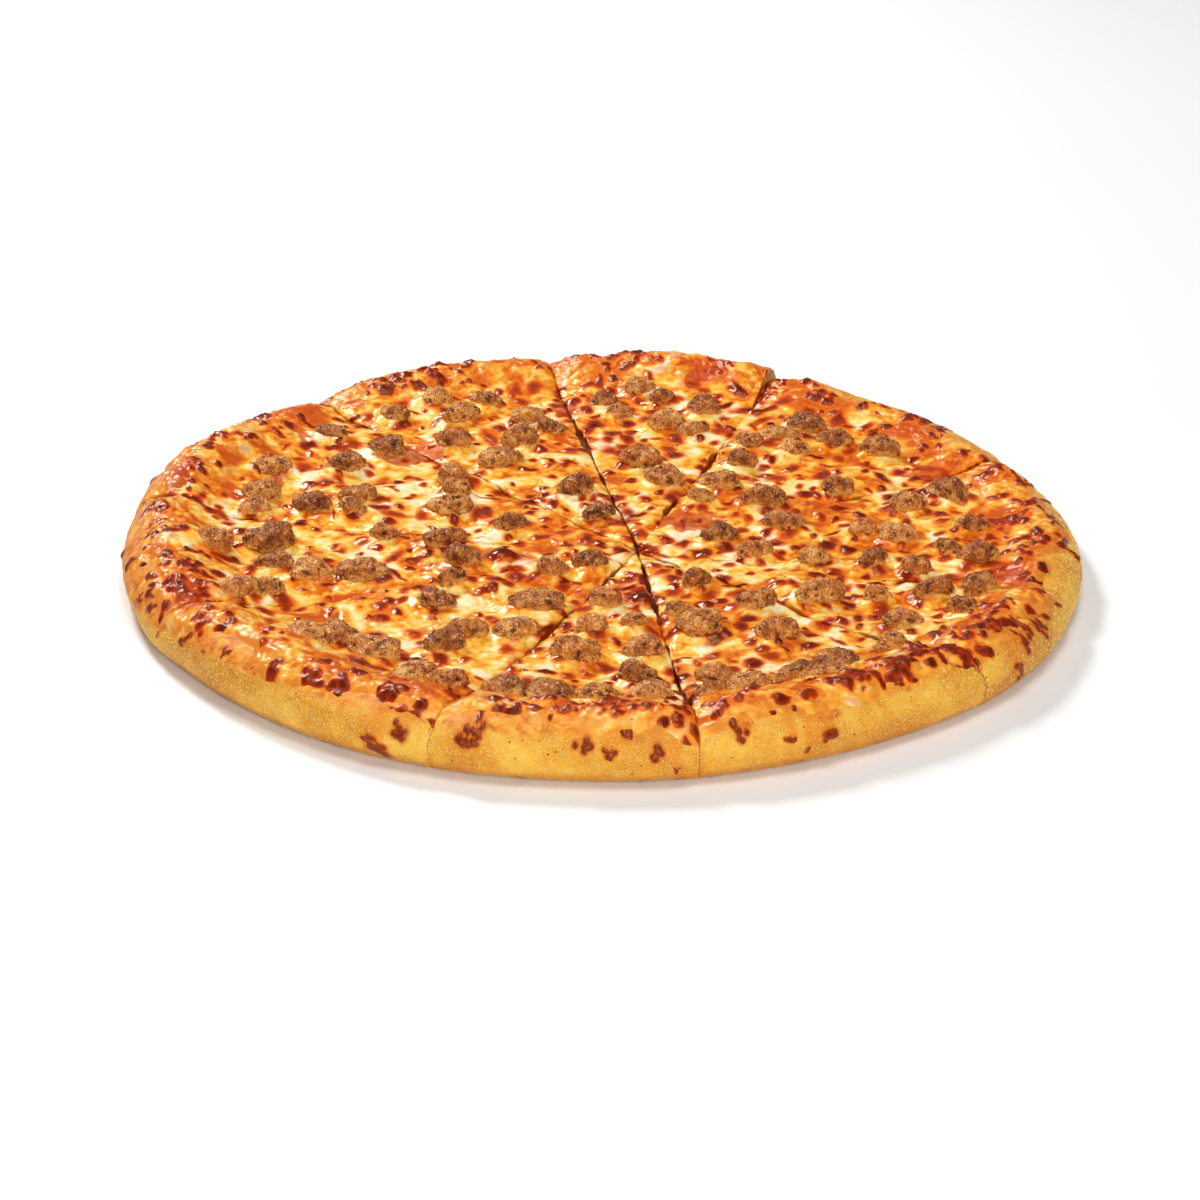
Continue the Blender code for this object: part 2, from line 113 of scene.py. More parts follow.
# The smaller pieces of each slice, which melt into its cheese, in the same way
CRUMBLES = (
    ((0.026, 0.42, 0.015), (0.098, 0.91, 0.018), (0.111, 0.68, 0.017), (0.101, 0.29, 0.017),
     (0.174, 0.36, 0.019), (0.042, 0.18, 0.013), (0.086, 0.10, 0.011), (0.172, 0.80, 0.017),
     (0.168, 0.92, 0.016)),
    ((0.169, 0.17, 0.019), (0.167, 0.59, 0.016), (0.054, 0.27, 0.014), (0.122, 0.76, 0.016),
     (0.083, 0.36, 0.014), (0.074, 0.73, 0.012)),
    ((0.166, 0.44, 0.019), (0.163, 0.23, 0.018), (0.074, 0.82, 0.017), (0.043, 0.66, 0.014),
     (0.147, 0.88, 0.014), (0.068, 0.17, 0.012), (0.166, 0.07, 0.013)),
    ((0.147, 0.55, 0.013), (0.108, 0.58, 0.012)),
    ((0.037, 0.72, 0.016), (0.126, 0.78, 0.016), (0.050, 0.22, 0.014), (0.145, 0.50, 0.015),
     (0.075, 0.15, 0.014), (0.131, 0.29, 0.014), (0.100, 0.14, 0.013), (0.098, 0.57, 0.012),
     (0.118, 0.08, 0.012)),
    ((0.149, 0.54, 0.017), (0.137, 0.77, 0.016), (0.125, 0.86, 0.014), (0.106, 0.80, 0.014),
     (0.128, 0.61, 0.014), (0.059, 0.76, 0.013), (0.109, 0.10, 0.013)),
    ((0.159, 0.80, 0.014), (0.174, 0.60, 0.014), (0.129, 0.23, 0.014), (0.165, 0.48, 0.013),
     (0.146, 0.72, 0.012)),
    ((0.036, 0.55, 0.015), (0.148, 0.27, 0.016), (0.141, 0.78, 0.016), (0.134, 0.17, 0.014),
     (0.182, 0.60, 0.014), (0.173, 0.39, 0.014), (0.180, 0.84, 0.013)),
    ((0.153, 0.37, 0.017), (0.178, 0.57, 0.016), (0.129, 0.68, 0.016), (0.058, 0.66, 0.015),
     (0.106, 0.16, 0.014), (0.127, 0.82, 0.014), (0.180, 0.18, 0.014), (0.168, 0.93, 0.013),
     (0.096, 0.31, 0.013)),
    ((0.153, 0.53, 0.016), (0.176, 0.90, 0.017), (0.182, 0.40, 0.017), (0.076, 0.72, 0.016),
     (0.160, 0.89, 0.015), (0.108, 0.14, 0.013)),
)
SAUSAGE_WIDTH = (0.66, 0.84)
SAUSAGE_HEIGHT = (0.0115, 0.0140)
CRUMBLE_HEIGHT = (0.0095, 0.0120)
SAUSAGE_SINK = 0.36
# The pieces lie within this turn of the X axis
SAUSAGE_TURN = 0.6
CUT_MARGIN = 0.0010
# No piece lies further from the pizza's axis, where the rim rises
MEAT_RADIUS = 0.166
LUMP_SIZE = 0.0075
LUMP_DEPTH = 0.16
# How far apart in the noise the dents of one lump and the next are taken
LUMP_SHIFT = np.array((1.7, 0.9, 2.3))
SEED = 11

# Spacing of the points of the detailed meshes, and the parts that a ball's edges are split into
CHEESE_SPACING = 0.00095
UNDER_SPACING = 0.006
CRUST_SPACING = 0.00101
LARGE_FINENESS = 16
SMALL_FINENESS = 12
BOX_MARGIN = 0.00002

# Noise with a height, given as (size of its features, layers, seed)
Rough = namedtuple("Rough", "height noise")
CHEESE_SWELL = Rough(0.0011, (0.017, 3, 11))
EDGE_SWAY = Rough(0.0040, (0.017, 2, 41))
EDGE_RAG = Rough(0.0018, (0.005, 2, 43))
CUT_SWAY = Rough(1.1, (0.012, 2, 61))
CUT_DROOP = Rough(0.35, (0.012, 2, 61))
SAUCE_SPREAD = Rough(0.16, (0.030, 3, 51))
SAUCE_RAG = Rough(0.42, (0.007, 3, 53))
SPOT_WOBBLE = Rough(0.22, (0.0045, 2, 31))
DRIP_WOBBLE = Rough(0.22, (0.003, 2, 81))
FILM_RAG = Rough(0.0024, (0.008, 3, 75))
CRUST_SWELL = Rough(0.0007, (0.020, 3, 71))
CRUST_GRAIN = Rough(0.00022, (0.004, 3, 73))
MEAT_GRAIN = Rough(0.00032, (0.0016, 2, 93))
MEAT_PITS = Rough(0.0007, (0.0024, 2, 97))
# Noise that bends another, as (size, strength, seed)
SWELL_BEND = (0.02, 0.006, 3)
SPOT_BEND = (0.006, 0.0008, 9)
# Folded relief: its height, the level that counts as flat, the noise that bends it, and its own
# noise as (size, seed)
Folds = namedtuple("Folds", "height flat bend noise")
SHREDS = Folds(0.0007, 0.7, (0.011, 0.005, 21), (0.0088, 23))
STRANDS = Folds(0.0001, 0.6, (0.006, 0.002, 27), (0.0036, 29))
CRACKLE = Folds(0.0007, 0.6, (0.005, 0.002, 33), (0.0042, 35))
MEAT_KNOBS = Folds(0.0009, 0.6, (0.004, 0.0012, 95), (0.0034, 91))
SHRED_STRETCH = np.array((0.7, 1.3))

# The cheese's uneven outer edge and its rounded lip
EDGE_RADIUS = 0.1938
LEAST_EDGE = 0.186
EDGE_LIMIT = 0.1990
LATTICE_RADIUS = 0.2003
LIP_WIDTH = 0.0040
LIP_THICKNESS = 0.0009
LIP_SLOPE = 0.9
LEAST_RELIEF = 0.2
# Distances from the edge over which the colour of thin cheese comes in
EDGE_FADE = (0.009, 0.0005)
# The cheese's walls as (outwards, upwards) from the edge of its top, and its underside in the dough
WALL_STEPS = ((-0.0001, -0.0008), (-0.0004, -0.0018), (-0.0010, -0.0032))
UNDER_INSET = 0.0016
UNDER_DEPTH = 0.0012
# Radii over which these come in on the rim
CRACKLE_BAND = (0.168, 0.182)
BLISTER_BAND = (0.165, 0.180)
BAKE_BAND = (0.158, 0.180)
SPREAD_BAND = (0.168, 0.186)
# Radii over which the crust comes out from under the cheese
COVER_BAND = (0.188, 0.183)
# Left and behind, the cheese reaches further out and its film runs down the crust
LEFT_MIDDLE = radians(155)
LEFT_RANGE = (0.25, 0.85)
LEFT_REACH = 0.0035
FILM_LEVEL = 0.0190
FILM_DROP = 0.0095
FILM_FADE = (-0.0012, 0.0022)
# How the cheese sinks and spreads beside a cut
DROOP = 0.0013
DROOP_WIDTH = 0.0017
DROOP_SHARE = 0.65
SPREAD_WIDTH = 0.0025
SPREAD_SHARE = 0.74
SPREAD_ON_RIM = 1.2
SPREAD_BACK = 0.0006
LEAST_GAP = 0.00010
# An outline's point nearer to a cut than this is on it
ON_CUT = 1e-6
# How much further melted cheese reaches over the cut that a slice starts at
MELTED_SHUT = {6: 0.0006, 4: 0.0002}
# How the cheese climbs beside a piece of meat
MENISCUS = 0.0017
MENISCUS_WIDTH = 0.0027
MEAT_OUTLINE = 0.95

# The crust's side: where its fine points start, how far in it lies, and the heights over which
# its relief comes in
FINE_RADIUS = 0.182
CRUST_INSET = 0.0004
CRUST_FOOT = (0.0, 0.004)
# Rows of its coarse points, which start and end this far from the axis, and its least reach
TIP_RADIUS = 0.02
BED_ROWS = 5
SLOPE_ROWS = 12
UNDER_ROWS = 10
LEAST_REACH = 0.002
SMOOTHING = 6
CUT_COLUMNS = np.array((0.3, 0.6))
# How deep its corner is rounded off beside a cut, and the heights over which its top sinks there
CORNER_DEPTH = 0.0009
CORNER_WIDTH = 0.0012
CORNER_RISE = (0.012, 0.020)
SHARP_ANGLE = radians(60)

# A spot's depth is followed out to this many of its radii
SPOT_REACH = 3
OUTSIDE = 1.0 - SPOT_REACH
SPOT_MARGIN = 0.01
# The bed's blisters: their band of radii, and pitch, least radius, greatest radius and chance
BED_BAND = (0.0, 0.170)
BED_BLISTERS = (0.0088, 0.0013, 0.0033, 0.84)
# Powers that make large, long and dark ones rarer
SIZE_POWER = 1.5
STRETCH_POWER = 2
DARK_POWER = 1.4
# The rim's blisters lie in patches: pitch, share of places with a patch, its spread, count and radii
RIM_BAND = (0.172, 0.197)
RIM_PATCHES = (0.0100, 0.52, 0.0034, (2, 7), (0.0009, 0.0026))
RIM_OVAL = (1.15, 0.9)
RIM_DARKNESS = (0.3, 1.0)
BLISTER_HEIGHT = 0.0009
# Larger dark blisters as (x, y, radius), and how they are drawn out, turned and domed
DARK_BLISTERS = ((-0.043, -0.024, 0.0066), (-0.001, -0.058, 0.0060), (0.016, -0.063, 0.0055))
DARK_OVAL = (1.2, 0.9)
DARK_TURN = 0.3
DOME_SHARE = 0.34
# Heavily browned stretches of the rim as (x, y, spread, count)
DARK_PATCHES = (
    (0.137, -0.129, 0.009, 26), (0.122, -0.141, 0.008, 20), (0.154, -0.104, 0.008, 22),
    (0.098, -0.160, 0.006, 11), (-0.178, -0.062, 0.007, 14), (-0.187, -0.030, 0.006, 12),
    (-0.080, -0.172, 0.006, 12), (0.030, -0.190, 0.005, 10),
)
# Patches of sauce that show through, as (x, y, radius)
SAUCE_PATCHES = (
    (-0.186, 0.025, 0.016), (-0.082, 0.089, 0.013), (-0.093, 0.082, 0.010), (0.037, 0.018, 0.012),
    (0.146, 0.074, 0.013), (-0.168, -0.080, 0.010), (0.046, 0.172, 0.011), (0.168, -0.045, 0.010),
    (0.008, 0.157, 0.010), (-0.020, 0.140, 0.009), (-0.137, 0.102, 0.009), (-0.078, -0.156, 0.008),
)
SAUCE_RANGE = (0.42, 0.72)
SAUCE_DEPTH = 0.0006
SAUCE_CALM = 0.4
# What the cheese's underside has for the values on its top
UNDERSIDE = {"spot": OUTSIDE, "dark": 0.0, "sauce": 1.0, "shred": 0.5, "bake": 0.0, "edge": 1.0}
# Drips of burnt cheese on the crust as (direction in degrees, height, size)
DRIPS = (
    (-115, 0.0085, 0.0050), (-112, 0.0165, 0.0040), (-105, 0.0170, 0.0045), (-104, 0.0195, 0.0035),
    (-92, 0.0165, 0.0035), (-89, 0.0150, 0.0035), (-87, 0.0200, 0.0030), (-84, 0.0135, 0.0035),
    (-82, 0.0075, 0.0020), (-75, 0.0185, 0.0040), (-69, 0.0135, 0.0025), (-65, 0.0130, 0.0045),
    (-67, 0.0095, 0.0022), (-157, 0.0215, 0.0050), (-155, 0.0175, 0.0035), (-158, 0.0165, 0.0025),
    (-145, 0.0185, 0.0030), (-141, 0.0175, 0.0016), (-138, 0.0210, 0.0022), (-151, 0.0115, 0.0018),
    (-21, 0.0175, 0.0026), (-25, 0.0185, 0.0032), (-28, 0.0180, 0.0034), (-31, 0.0195, 0.0038),
    (-33, 0.0185, 0.0036), (-35, 0.0075, 0.0032), (-36, 0.0120, 0.0028), (-5, 0.0145, 0.0036),
    (12, 0.0150, 0.0030), (38, 0.0160, 0.0040), (55, 0.0120, 0.0025), (84, 0.0170, 0.0035),
    (97, 0.0180, 0.0028), (118, 0.0150, 0.0040), (140, 0.0160, 0.0030), (151, 0.0110, 0.0024),
    (168, 0.0180, 0.0042), (-172, 0.0150, 0.0030), (-166, 0.0190, 0.0038),
)
DRIP_RADIUS = 0.186
DRIP_HEIGHT = 0.0013
RUN_HEIGHT = 0.0005
TRAIL_REACH = 2.5
# A drip has a bubble for each such part of its size. Their spread and sizes are shares of it
BUBBLE_PITCH = 0.0005
BUBBLE_SPREAD = 0.46
BUBBLE_SQUASH = 0.9
BUBBLE_SIZES = (0.25, 0.46)

# The meat's pits, its foot in the cheese and the film of cheese that climbs it
PIT_RANGE = (0.45, 0.85)
FOOT_DEPTH = 0.0012
FOOT_FADE = (0.0064, 0.0014)
FOOT_RAG = 0.0018
# How far below a piece's middle the directions of its grain start, as a share of its height
GRAIN_CENTRE = 0.3
# How far out of another piece a point is pushed, and the step in shade from one piece to the next
PUSH_OUT = 1.03
SHADE_STEP = 0.381

# Small grains as their number, least and greatest size, and flatness
Grains = namedtuple("Grains", "count sizes flatness")
CORNMEAL = Grains(6000, (0.00022, 0.00046), 0.8)
PEPPER = Grains(420, (0.00025, 0.00060), 0.35)
GRAIN_SHAPE = (0.6, 1.0)
GRAIN_WIDTH = 0.8
GRAIN_LIFT = 0.3
# Meal lies on the crust outside this radius, above this height, below the film and off the drips
MEAL_RADIUS = 0.193
MEAL_HEIGHT = 0.002
MEAL_INTO_FILM = 0.001
MEAL_OFF_DRIPS = -0.4
LEAST_FACING = -0.3
# Pepper on the cheese lies above this height, on what faces up this much
PEPPER_HEIGHT = 0.011
PEPPER_FACING = 0.5

WARM_GLOSS = (1.0, 0.68, 0.30, 1.0)
MEAT_GLOSS = (1.0, 0.80, 0.48, 1.0)
NOISE_ROUGHNESS = 0.55

CAMERA_DISTANCE = 1.5
CAMERA_ELEVATION = radians(24.6)
CAMERA_ROLL = radians(-0.79)
PHOTO_SIZE = 1200
PHOTO_CENTRE = (604.4, 564.1)
FOCAL_PIXELS = 3495.0
FLOOR_REACH = 3.0
FLOOR_GAP = 0.0003


def paint(red, green, blue):
    """A colour from its usual 0 to 255 values, as linear light."""
    parts = np.array((red, green, blue)) / 255
    linear = np.where(parts <= 0.04045, parts / 12.92, ((parts + 0.055) / 1.055) ** 2.4)
    return (*linear.tolist(), 1.0)


def ray(angle):
    return Vector((cos(angle), sin(angle)))


def waves(angle, terms):
    return sum(size * np.sin(count * angle + phase) for count, size, phase in terms)


def bed_wave(x, y):
    return sum(size * np.sin(2 * pi * (along_x * x + along_y * y) + phase)
               for along_x, along_y, size, phase in BED_WAVES)


def ramp(value, low, high):
    """A smooth rise from 0 at low to 1 at high."""
    share = np.clip((value - low) / (high - low), 0.0, 1.0)
    return share * share * (3 - 2 * share)


def bell(share):
    """A smooth fall from 1 at 0 to nearly 0 at 2."""
    return np.exp(-(share ** 2))


def dome(depth):
    """A round rise from 0 at 0 to 1 at 1."""
    return np.sqrt(np.clip(depth, 0, 1))


def polar(points):
    """Distances of points from the pizza's axis, and their directions."""
    return np.hypot(points[:, 0], points[:, 1]), np.arctan2(points[:, 1], points[:, 0])


def oval_reach(dx, dy, along, across, turn):
    """How far places are from the middle of a turned oval, as a share of the way to its edge."""
    u = (dx * cos(turn) + dy * sin(turn)) / along
    v = (dy * cos(turn) - dx * sin(turn)) / across
    return np.hypot(u, v)


def points_in(parts):
    return sum(len(part) for part in parts)


def shifted(triangles, first):
    """Triangles of points that are counted on from a first one."""
    return [(first + a, first + b, first + c) for a, b, c in triangles]


def numbered(name, number):
    return f"{name}_{number + 1:02d}"


def section_height(radius, section):
    return np.interp(radius, [point[0] for point in section], [point[1] for point in section])


def cuts_of(number):
    """The cuts at the start and at the end of a slice."""
    return number, (number + 1) % len(SLICES)


def slice_angles(number):
    start, end = (radians(SLICES[cut].start) for cut in cuts_of(number))
    return start, end if end > start else end + 2 * pi


def slice_corner(number):
    """The tip of a slice, and the directions that point into it from its two cuts."""
    first, last = map(ray, slice_angles(number))
    gaps = [SLICES[cut].gap for cut in cuts_of(number)]
    inward = np.array(((-first.y, first.x), (last.y, -last.x)))
    tip = np.array(CUT_CENTRE) + np.linalg.solve(inward, gaps)
    return tip, inward


def rim_angle(cut):
    way = ray(radians(SLICES[cut % len(SLICES)].start))
    along = CUT_CENTRE.dot(way)
    reach = -along + sqrt(along * along + RIM_RADIUS ** 2 - CUT_CENTRE.length_squared)
    crossing = CUT_CENTRE + way * reach
    return np.arctan2(crossing.y, crossing.x)


def turn_from(angle, base):
    return (angle - base + pi) % (2 * pi) - pi


def rim_height(number, angle):
    """Height of a slice's crest: an arc through its three heights, with a dip beside each cut."""
    first, last = rim_angle(number), rim_angle(number + 1)
    share = np.clip(turn_from(angle, first) / ((last - first) % (2 * pi)), 0.0, 1.0)
    start, middle, end = SLICES[number].rims
    height = (1 - share) * (1 - 2 * share) * start + 4 * share * (1 - share) * middle
    height = height + share * (2 * share - 1) * end
    for cut in (first, last):
        height = height - DIP * bell(turn_from(angle, cut) * RIM_RADIUS / DIP_WIDTH)
    return height


def baked(number, x, y, z):
    """Takes points of the evenly turned pizza to their places in the baked slice."""
    radius, angle = np.hypot(x, y), np.arctan2(y, x)
    rise = rim_height(number, angle) + waves(angle, CREST_WAVES)
    at_rim = ramp(radius, RIM_FOOT, RIM_SHOULDER)
    lift = 1 + at_rim * (rise / RIM_HEIGHT - 1) + (1 - at_rim) * bed_wave(x, y) / BED_HEIGHT
    spread = 1 + waves(angle, OUTLINE_WAVES) * radius ** 2 / OUTER_RADIUS ** 3
    return np.stack((x * spread, y * spread, z * lift), axis=-1)


def surface_height(number, x, y):
    level = section_height(np.hypot(x, y), CHEESE_TOP)
    return baked(number, np.asarray(x), np.asarray(y), level)[..., 2]


def spot(number, reach, share):
    start, end = slice_angles(number)
    return CUT_CENTRE + ray(start + share * (end - start)) * reach


def draw_lumps(number, rows, heights, seed):
    """Place, size and turn of each piece of meat in a slice's rows."""
    draw = np.random.RandomState(seed)
    found = []
    for reach, share, length in rows[number]:
        width = length * draw.uniform(*SAUSAGE_WIDTH)
        height = draw.uniform(*heights)
        at = spot(number, reach, share)
        at *= min(1.0, MEAT_RADIUS / at.length)
        found.append((at, np.array((length, width, height)), draw.uniform(-SAUSAGE_TURN, SAUSAGE_TURN)))
    return found


def clear_of_cuts(number, places):
    """The move in plan that takes places inside their slice, clear of its cuts."""
    tip, inward = slice_corner(number)
    moved = places.copy()
    for _ in range(4):
        for way in inward:
            depth = ((moved - tip) @ way).min()
            moved += way * max(CUT_MARGIN - depth, 0.0)
    return moved[0] - places[0]


# Noise over whole arrays of points
TABLE_SIZE = 256
TABLE = np.random.RandomState(SEED).permutation(TABLE_SIZE)
VALUES = np.random.RandomState(SEED + 1).uniform(-1, 1, TABLE_SIZE)
SEED_STEP = 17.31
LAYER_FADE = 0.5
LAYER_GAIN = 1.6
FOLD_GAIN = 1.7


def value_noise(points, size, seed):
    """Smooth noise from -1 to 1 at points, with features of about the given size."""
    scaled = np.asarray(points) / size + seed * SEED_STEP
    cell = np.floor(scaled).astype(int)
    part = scaled - cell
    part = part * part * part * (part * (part * 6 - 15) + 10)
    total = 0.0
    for corner in np.ndindex(*(2,) * scaled.shape[-1]):
        index = np.zeros(scaled.shape[:-1], int)
        weight = 1.0
        for axis, step in enumerate(corner):
            index = TABLE[(index + cell[..., axis] + step) % TABLE_SIZE]
            weight = weight * (part[..., axis] if step else 1 - part[..., axis])
        total = total + weight * VALUES[index]
    return total


def layered(points, size, layers, seed):
    """Noise with finer and weaker layers added."""
    total, strength, reach = 0.0, 1.0, 0.0
    for layer in range(layers):
        total = total + strength * value_noise(points, size / 2 ** layer, seed + layer)
        reach += strength
        strength *= LAYER_FADE
    return total / reach * LAYER_GAIN


def rough(points, kind):
    return kind.height * layered(points, *kind.noise)


def folded(points, size, seed):
    """Rounded swells between narrow creases, from 0 in a crease to 1."""
    return np.clip(np.abs(layered(points, size, 2, seed)) * FOLD_GAIN, 0, 1)


def warped(points, size, strength, seed):
    shifts = [layered(points, size, 2, seed + 5 * axis) for axis in range(points.shape[-1])]
    return points + np.stack(shifts, axis=-1) * strength


def folds(points, kind, stretch=1.0):
    return folded(warped(points, *kind.bend) * stretch, *kind.noise)


def scattered(draw, low, high, pitch, chance):
    """Uneven places between two radii, about a pitch apart."""
    found = []
    steps = np.arange(-OUTER_RADIUS, OUTER_RADIUS, pitch)
    for x in steps:
        for y in steps:
            at = np.array((x, y)) + draw.uniform(-0.5, 0.5, 2) * pitch
            if low < np.hypot(*at) < high and draw.uniform() < chance:
                found.append(at)
    return found


def browned_spots():
    """Seeded blisters over the pizza as rows of x, y, long radius, short radius, turn and darkness."""
    draw = np.random.RandomState(SEED * 7)
    rows = []
    pitch, least, most, chance = BED_BLISTERS
    for x, y in scattered(draw, *BED_BAND, pitch, chance):
        radius = least + (most - least) * draw.uniform() ** SIZE_POWER
        stretch = 1 + draw.uniform() ** STRETCH_POWER
        turn = draw.uniform(0, pi)
        rows.append((x, y, radius * stretch, radius / sqrt(stretch), turn, draw.uniform() ** DARK_POWER))
    pitch, chance, spread, counts, radii = RIM_PATCHES
    patches = [(*at, spread, draw.randint(*counts)) for at in scattered(draw, *RIM_BAND, pitch, chance)]
    for x, y, spread, count in patches + list(DARK_PATCHES):
        for _ in range(count):
            radius = draw.uniform(*radii)
            right, up = draw.normal(0, spread, 2)
            along, across = (radius * share for share in RIM_OVAL)
            turn = draw.uniform(0, pi)
            rows.append((x + right, y + up, along, across, turn, draw.uniform(*RIM_DARKNESS)))
    for x, y, radius in DARK_BLISTERS:
        along, across = (radius * share for share in DARK_OVAL)
        rows.append((x, y, along, across, DARK_TURN, 1.0))
    return np.array(rows)


def spot_field(points, spots):
    """How deep points are in the nearest spot: 1 at its middle, 0 at its edge, down to -2 outside,
    and that spot's darkness."""
    best = np.full(len(points), OUTSIDE)
    dark = np.zeros(len(points))
    wobble = 1 + rough(points, SPOT_WOBBLE)
    low, high = points.min(axis=0) - SPOT_MARGIN, points.max(axis=0) + SPOT_MARGIN
    for x, y, along, across, turn, darkness in spots:
        if not (low[0] < x < high[0] and low[1] < y < high[1]):
            continue
        reach = SPOT_REACH * along
        dx, dy = points[:, 0] - x, points[:, 1] - y
        near = np.flatnonzero((np.abs(dx) < reach) & (np.abs(dy) < reach))
        depth = 1 - oval_reach(dx[near], dy[near], along, across, turn) * wobble[near]
        better = depth > best[near]
        best[near[better]] = depth[better]
        dark[near[better]] = darkness
    return best, dark


def sauce_field(points):
    """How much sauce shows at points, from 0 to 1."""
    total = rough(points, SAUCE_SPREAD)
    for x, y, radius in SAUCE_PATCHES:
        total = total + bell(np.hypot(points[:, 0] - x, points[:, 1] - y) / radius)
    return ramp(total + rough(points, SAUCE_RAG), *SAUCE_RANGE)


SPOTS = browned_spots()
# Height of a row of even triangles
ROW_SHARE = 0.87


def reach_from(tip, angles, radius):
    """How far it is from a slice's tip in each direction to a radius about the axis."""
    along = tip[0] * np.cos(angles) + tip[1] * np.sin(angles)
    return -along + np.sqrt(np.maximum(along ** 2 + radius ** 2 - tip @ tip, 0))


def rings(number, spacing, outer):
    """Points over a slice of the even pizza in rings about its tip, the triangles between them, and
    the loop of points round them."""
    start, end = slice_angles(number)
    tip, _ = slice_corner(number)
    full_reach = float(reach_from(tip, (start + end) / 2, outer))
    rows = max(2, round(full_reach / (spacing * ROW_SHARE)))
    points, triangles, first_of, count_of = [], [], [], []
    for row in range(rows + 1):
        share = row / rows
        count = 0 if row == 0 else max(1, round(full_reach * share * (end - start) / spacing))
        angle = np.linspace(start, end, count + 1)
        reach = reach_from(tip, angle, outer) * share
        first_of.append(points_in(points))
        count_of.append(count)
        points.append(np.stack((tip[0] + np.cos(angle) * reach, tip[1] + np.sin(angle) * reach), axis=-1))
    for row in range(rows):
        triangles += stitched(first_of[row], count_of[row], first_of[row + 1], count_of[row + 1])
    left = [first + count for first, count in zip(first_of, count_of)]
    outside = list(range(first_of[-1], first_of[-1] + count_of[-1] + 1))
    loop = first_of[:-1] + outside + left[-2:0:-1]
    return np.concatenate(points), triangles, loop


def stitched(low, low_count, high, high_count):
    """Triangles between two rows of points that run side by side."""
    found = []
    i = j = 0
    while i < low_count or j < high_count:
        low_next = (i + 1) / low_count if i < low_count else 2.0
        high_next = (j + 1) / high_count if j < high_count else 2.0
        if high_next <= low_next:
            found.append((low + i, high + j, high + j + 1))
            j += 1
        else:
            found.append((low + i, high + j, low + i + 1))
            i += 1
    return found


def zipped(upper, upper_places, lower, lower_places):
    """Triangles between two closed loops of points, matched by their share of the way round."""
    def shares(places):
        steps = np.linalg.norm(np.diff(np.vstack((places, places[:1])), axis=0), axis=1)
        return np.concatenate(((0.0,), np.cumsum(steps))) / steps.sum()

    a, b = shares(upper_places[:, :2]), shares(lower_places[:, :2])
    found = []
    i = j = 0
    while i < len(upper) or j < len(lower):
        if j >= len(lower) or (i < len(upper) and a[i + 1] <= b[j + 1]):
            found.append((upper[i], lower[j % len(lower)], upper[(i + 1) % len(upper)]))
            i += 1
        else:
            found.append((upper[i % len(upper)], lower[j], lower[(j + 1) % len(lower)]))
            j += 1
    return found


def placed(name, data):
    """A new object in the scene."""
    piece = bpy.data.objects.new(name, data)
    bpy.context.scene.collection.objects.link(piece)
    return piece


def make_piece(name, points, faces, surface, fields=None):
    """A mesh object inside the solids' box, with values on its points for the materials to read."""
    low, high = np.array(CAD_BOX[0]) + BOX_MARGIN, np.array(CAD_BOX[1]) - BOX_MARGIN
    mesh = bpy.data.meshes.new(name)
    mesh.from_pydata(np.clip(points, low, high).tolist(), [], faces)
    for title, values in (fields or {}).items():
        layer = mesh.attributes.new(title, "FLOAT", "POINT")
        layer.data.foreach_set("value", np.asarray(values, np.float32))
    cage = bmesh.new()
    cage.from_mesh(mesh)
    bmesh.ops.recalc_face_normals(cage, faces=cage.faces)
    cage.to_mesh(mesh)
    cage.free()
    mesh.shade_smooth()
    mesh.materials.append(surface)
    return placed(name, mesh)


def push_of(number):
    start, end = slice_angles(number)
    out = ray((start + end) / 2) * SLICES[number].push
    return np.array((out.x, out.y, 0.0))


def cut_distance(number, places):
    """How far places are inside the nearer of a slice's cuts."""
    tip, inward = slice_corner(number)
    offsets = places - tip
    return np.minimum(offsets @ inward[0], offsets @ inward[1])


def meat_distance(points, lumps):
    """Distance from the outline of the nearest piece of meat, about 0 inside it."""
    nearest = np.full(len(points), 1.0)
    for lump in lumps:
        dx, dy = points[:, 0] - lump.at[0], points[:, 1] - lump.at[1]
        along, across = lump.size[:2] / 2
        share = oval_reach(dx, dy, along, across, lump.turn)
        nearest = np.minimum(nearest, (share - MEAT_OUTLINE) * across)
    return np.maximum(nearest, 0.0)


def at_left(angle):
    """How far a direction is in the stretch, left and behind, where the cheese runs down the crust."""
    return ramp(np.cos(angle - LEFT_MIDDLE), *LEFT_RANGE)


def cheese_edge(angle):
    """Radius of the cheese's uneven outer edge in each direction."""
    places = np.stack((np.cos(angle), np.sin(angle)), axis=-1) * OUTER_RADIUS
    uneven = rough(places, EDGE_SWAY) + rough(places, EDGE_RAG)
    edge = EDGE_RADIUS + LEFT_REACH * at_left(angle) + waves(angle, EDGE_WAVES) + uneven
    return np.clip(edge, LEAST_EDGE, EDGE_LIMIT)


def spread_over_cuts(number, plan):
    """Moves places beside a cut out over it, unevenly, and never past its middle."""
    tip, inward = slice_corner(number)
    share = SPREAD_SHARE + rough(plan, CUT_SWAY) + SPREAD_ON_RIM * ramp(polar(plan)[0], *SPREAD_BAND)
    moved = plan.copy()
    for way, cut in zip(inward, cuts_of(number)):
        gap = SLICES[cut].gap + MELTED_SHUT.get(cut, 0.0)
        shift = np.clip(gap * share, -SPREAD_BACK, gap - LEAST_GAP)
        moved -= way * (shift * bell((plan - tip) @ way / SPREAD_WIDTH))[:, None]
    return moved


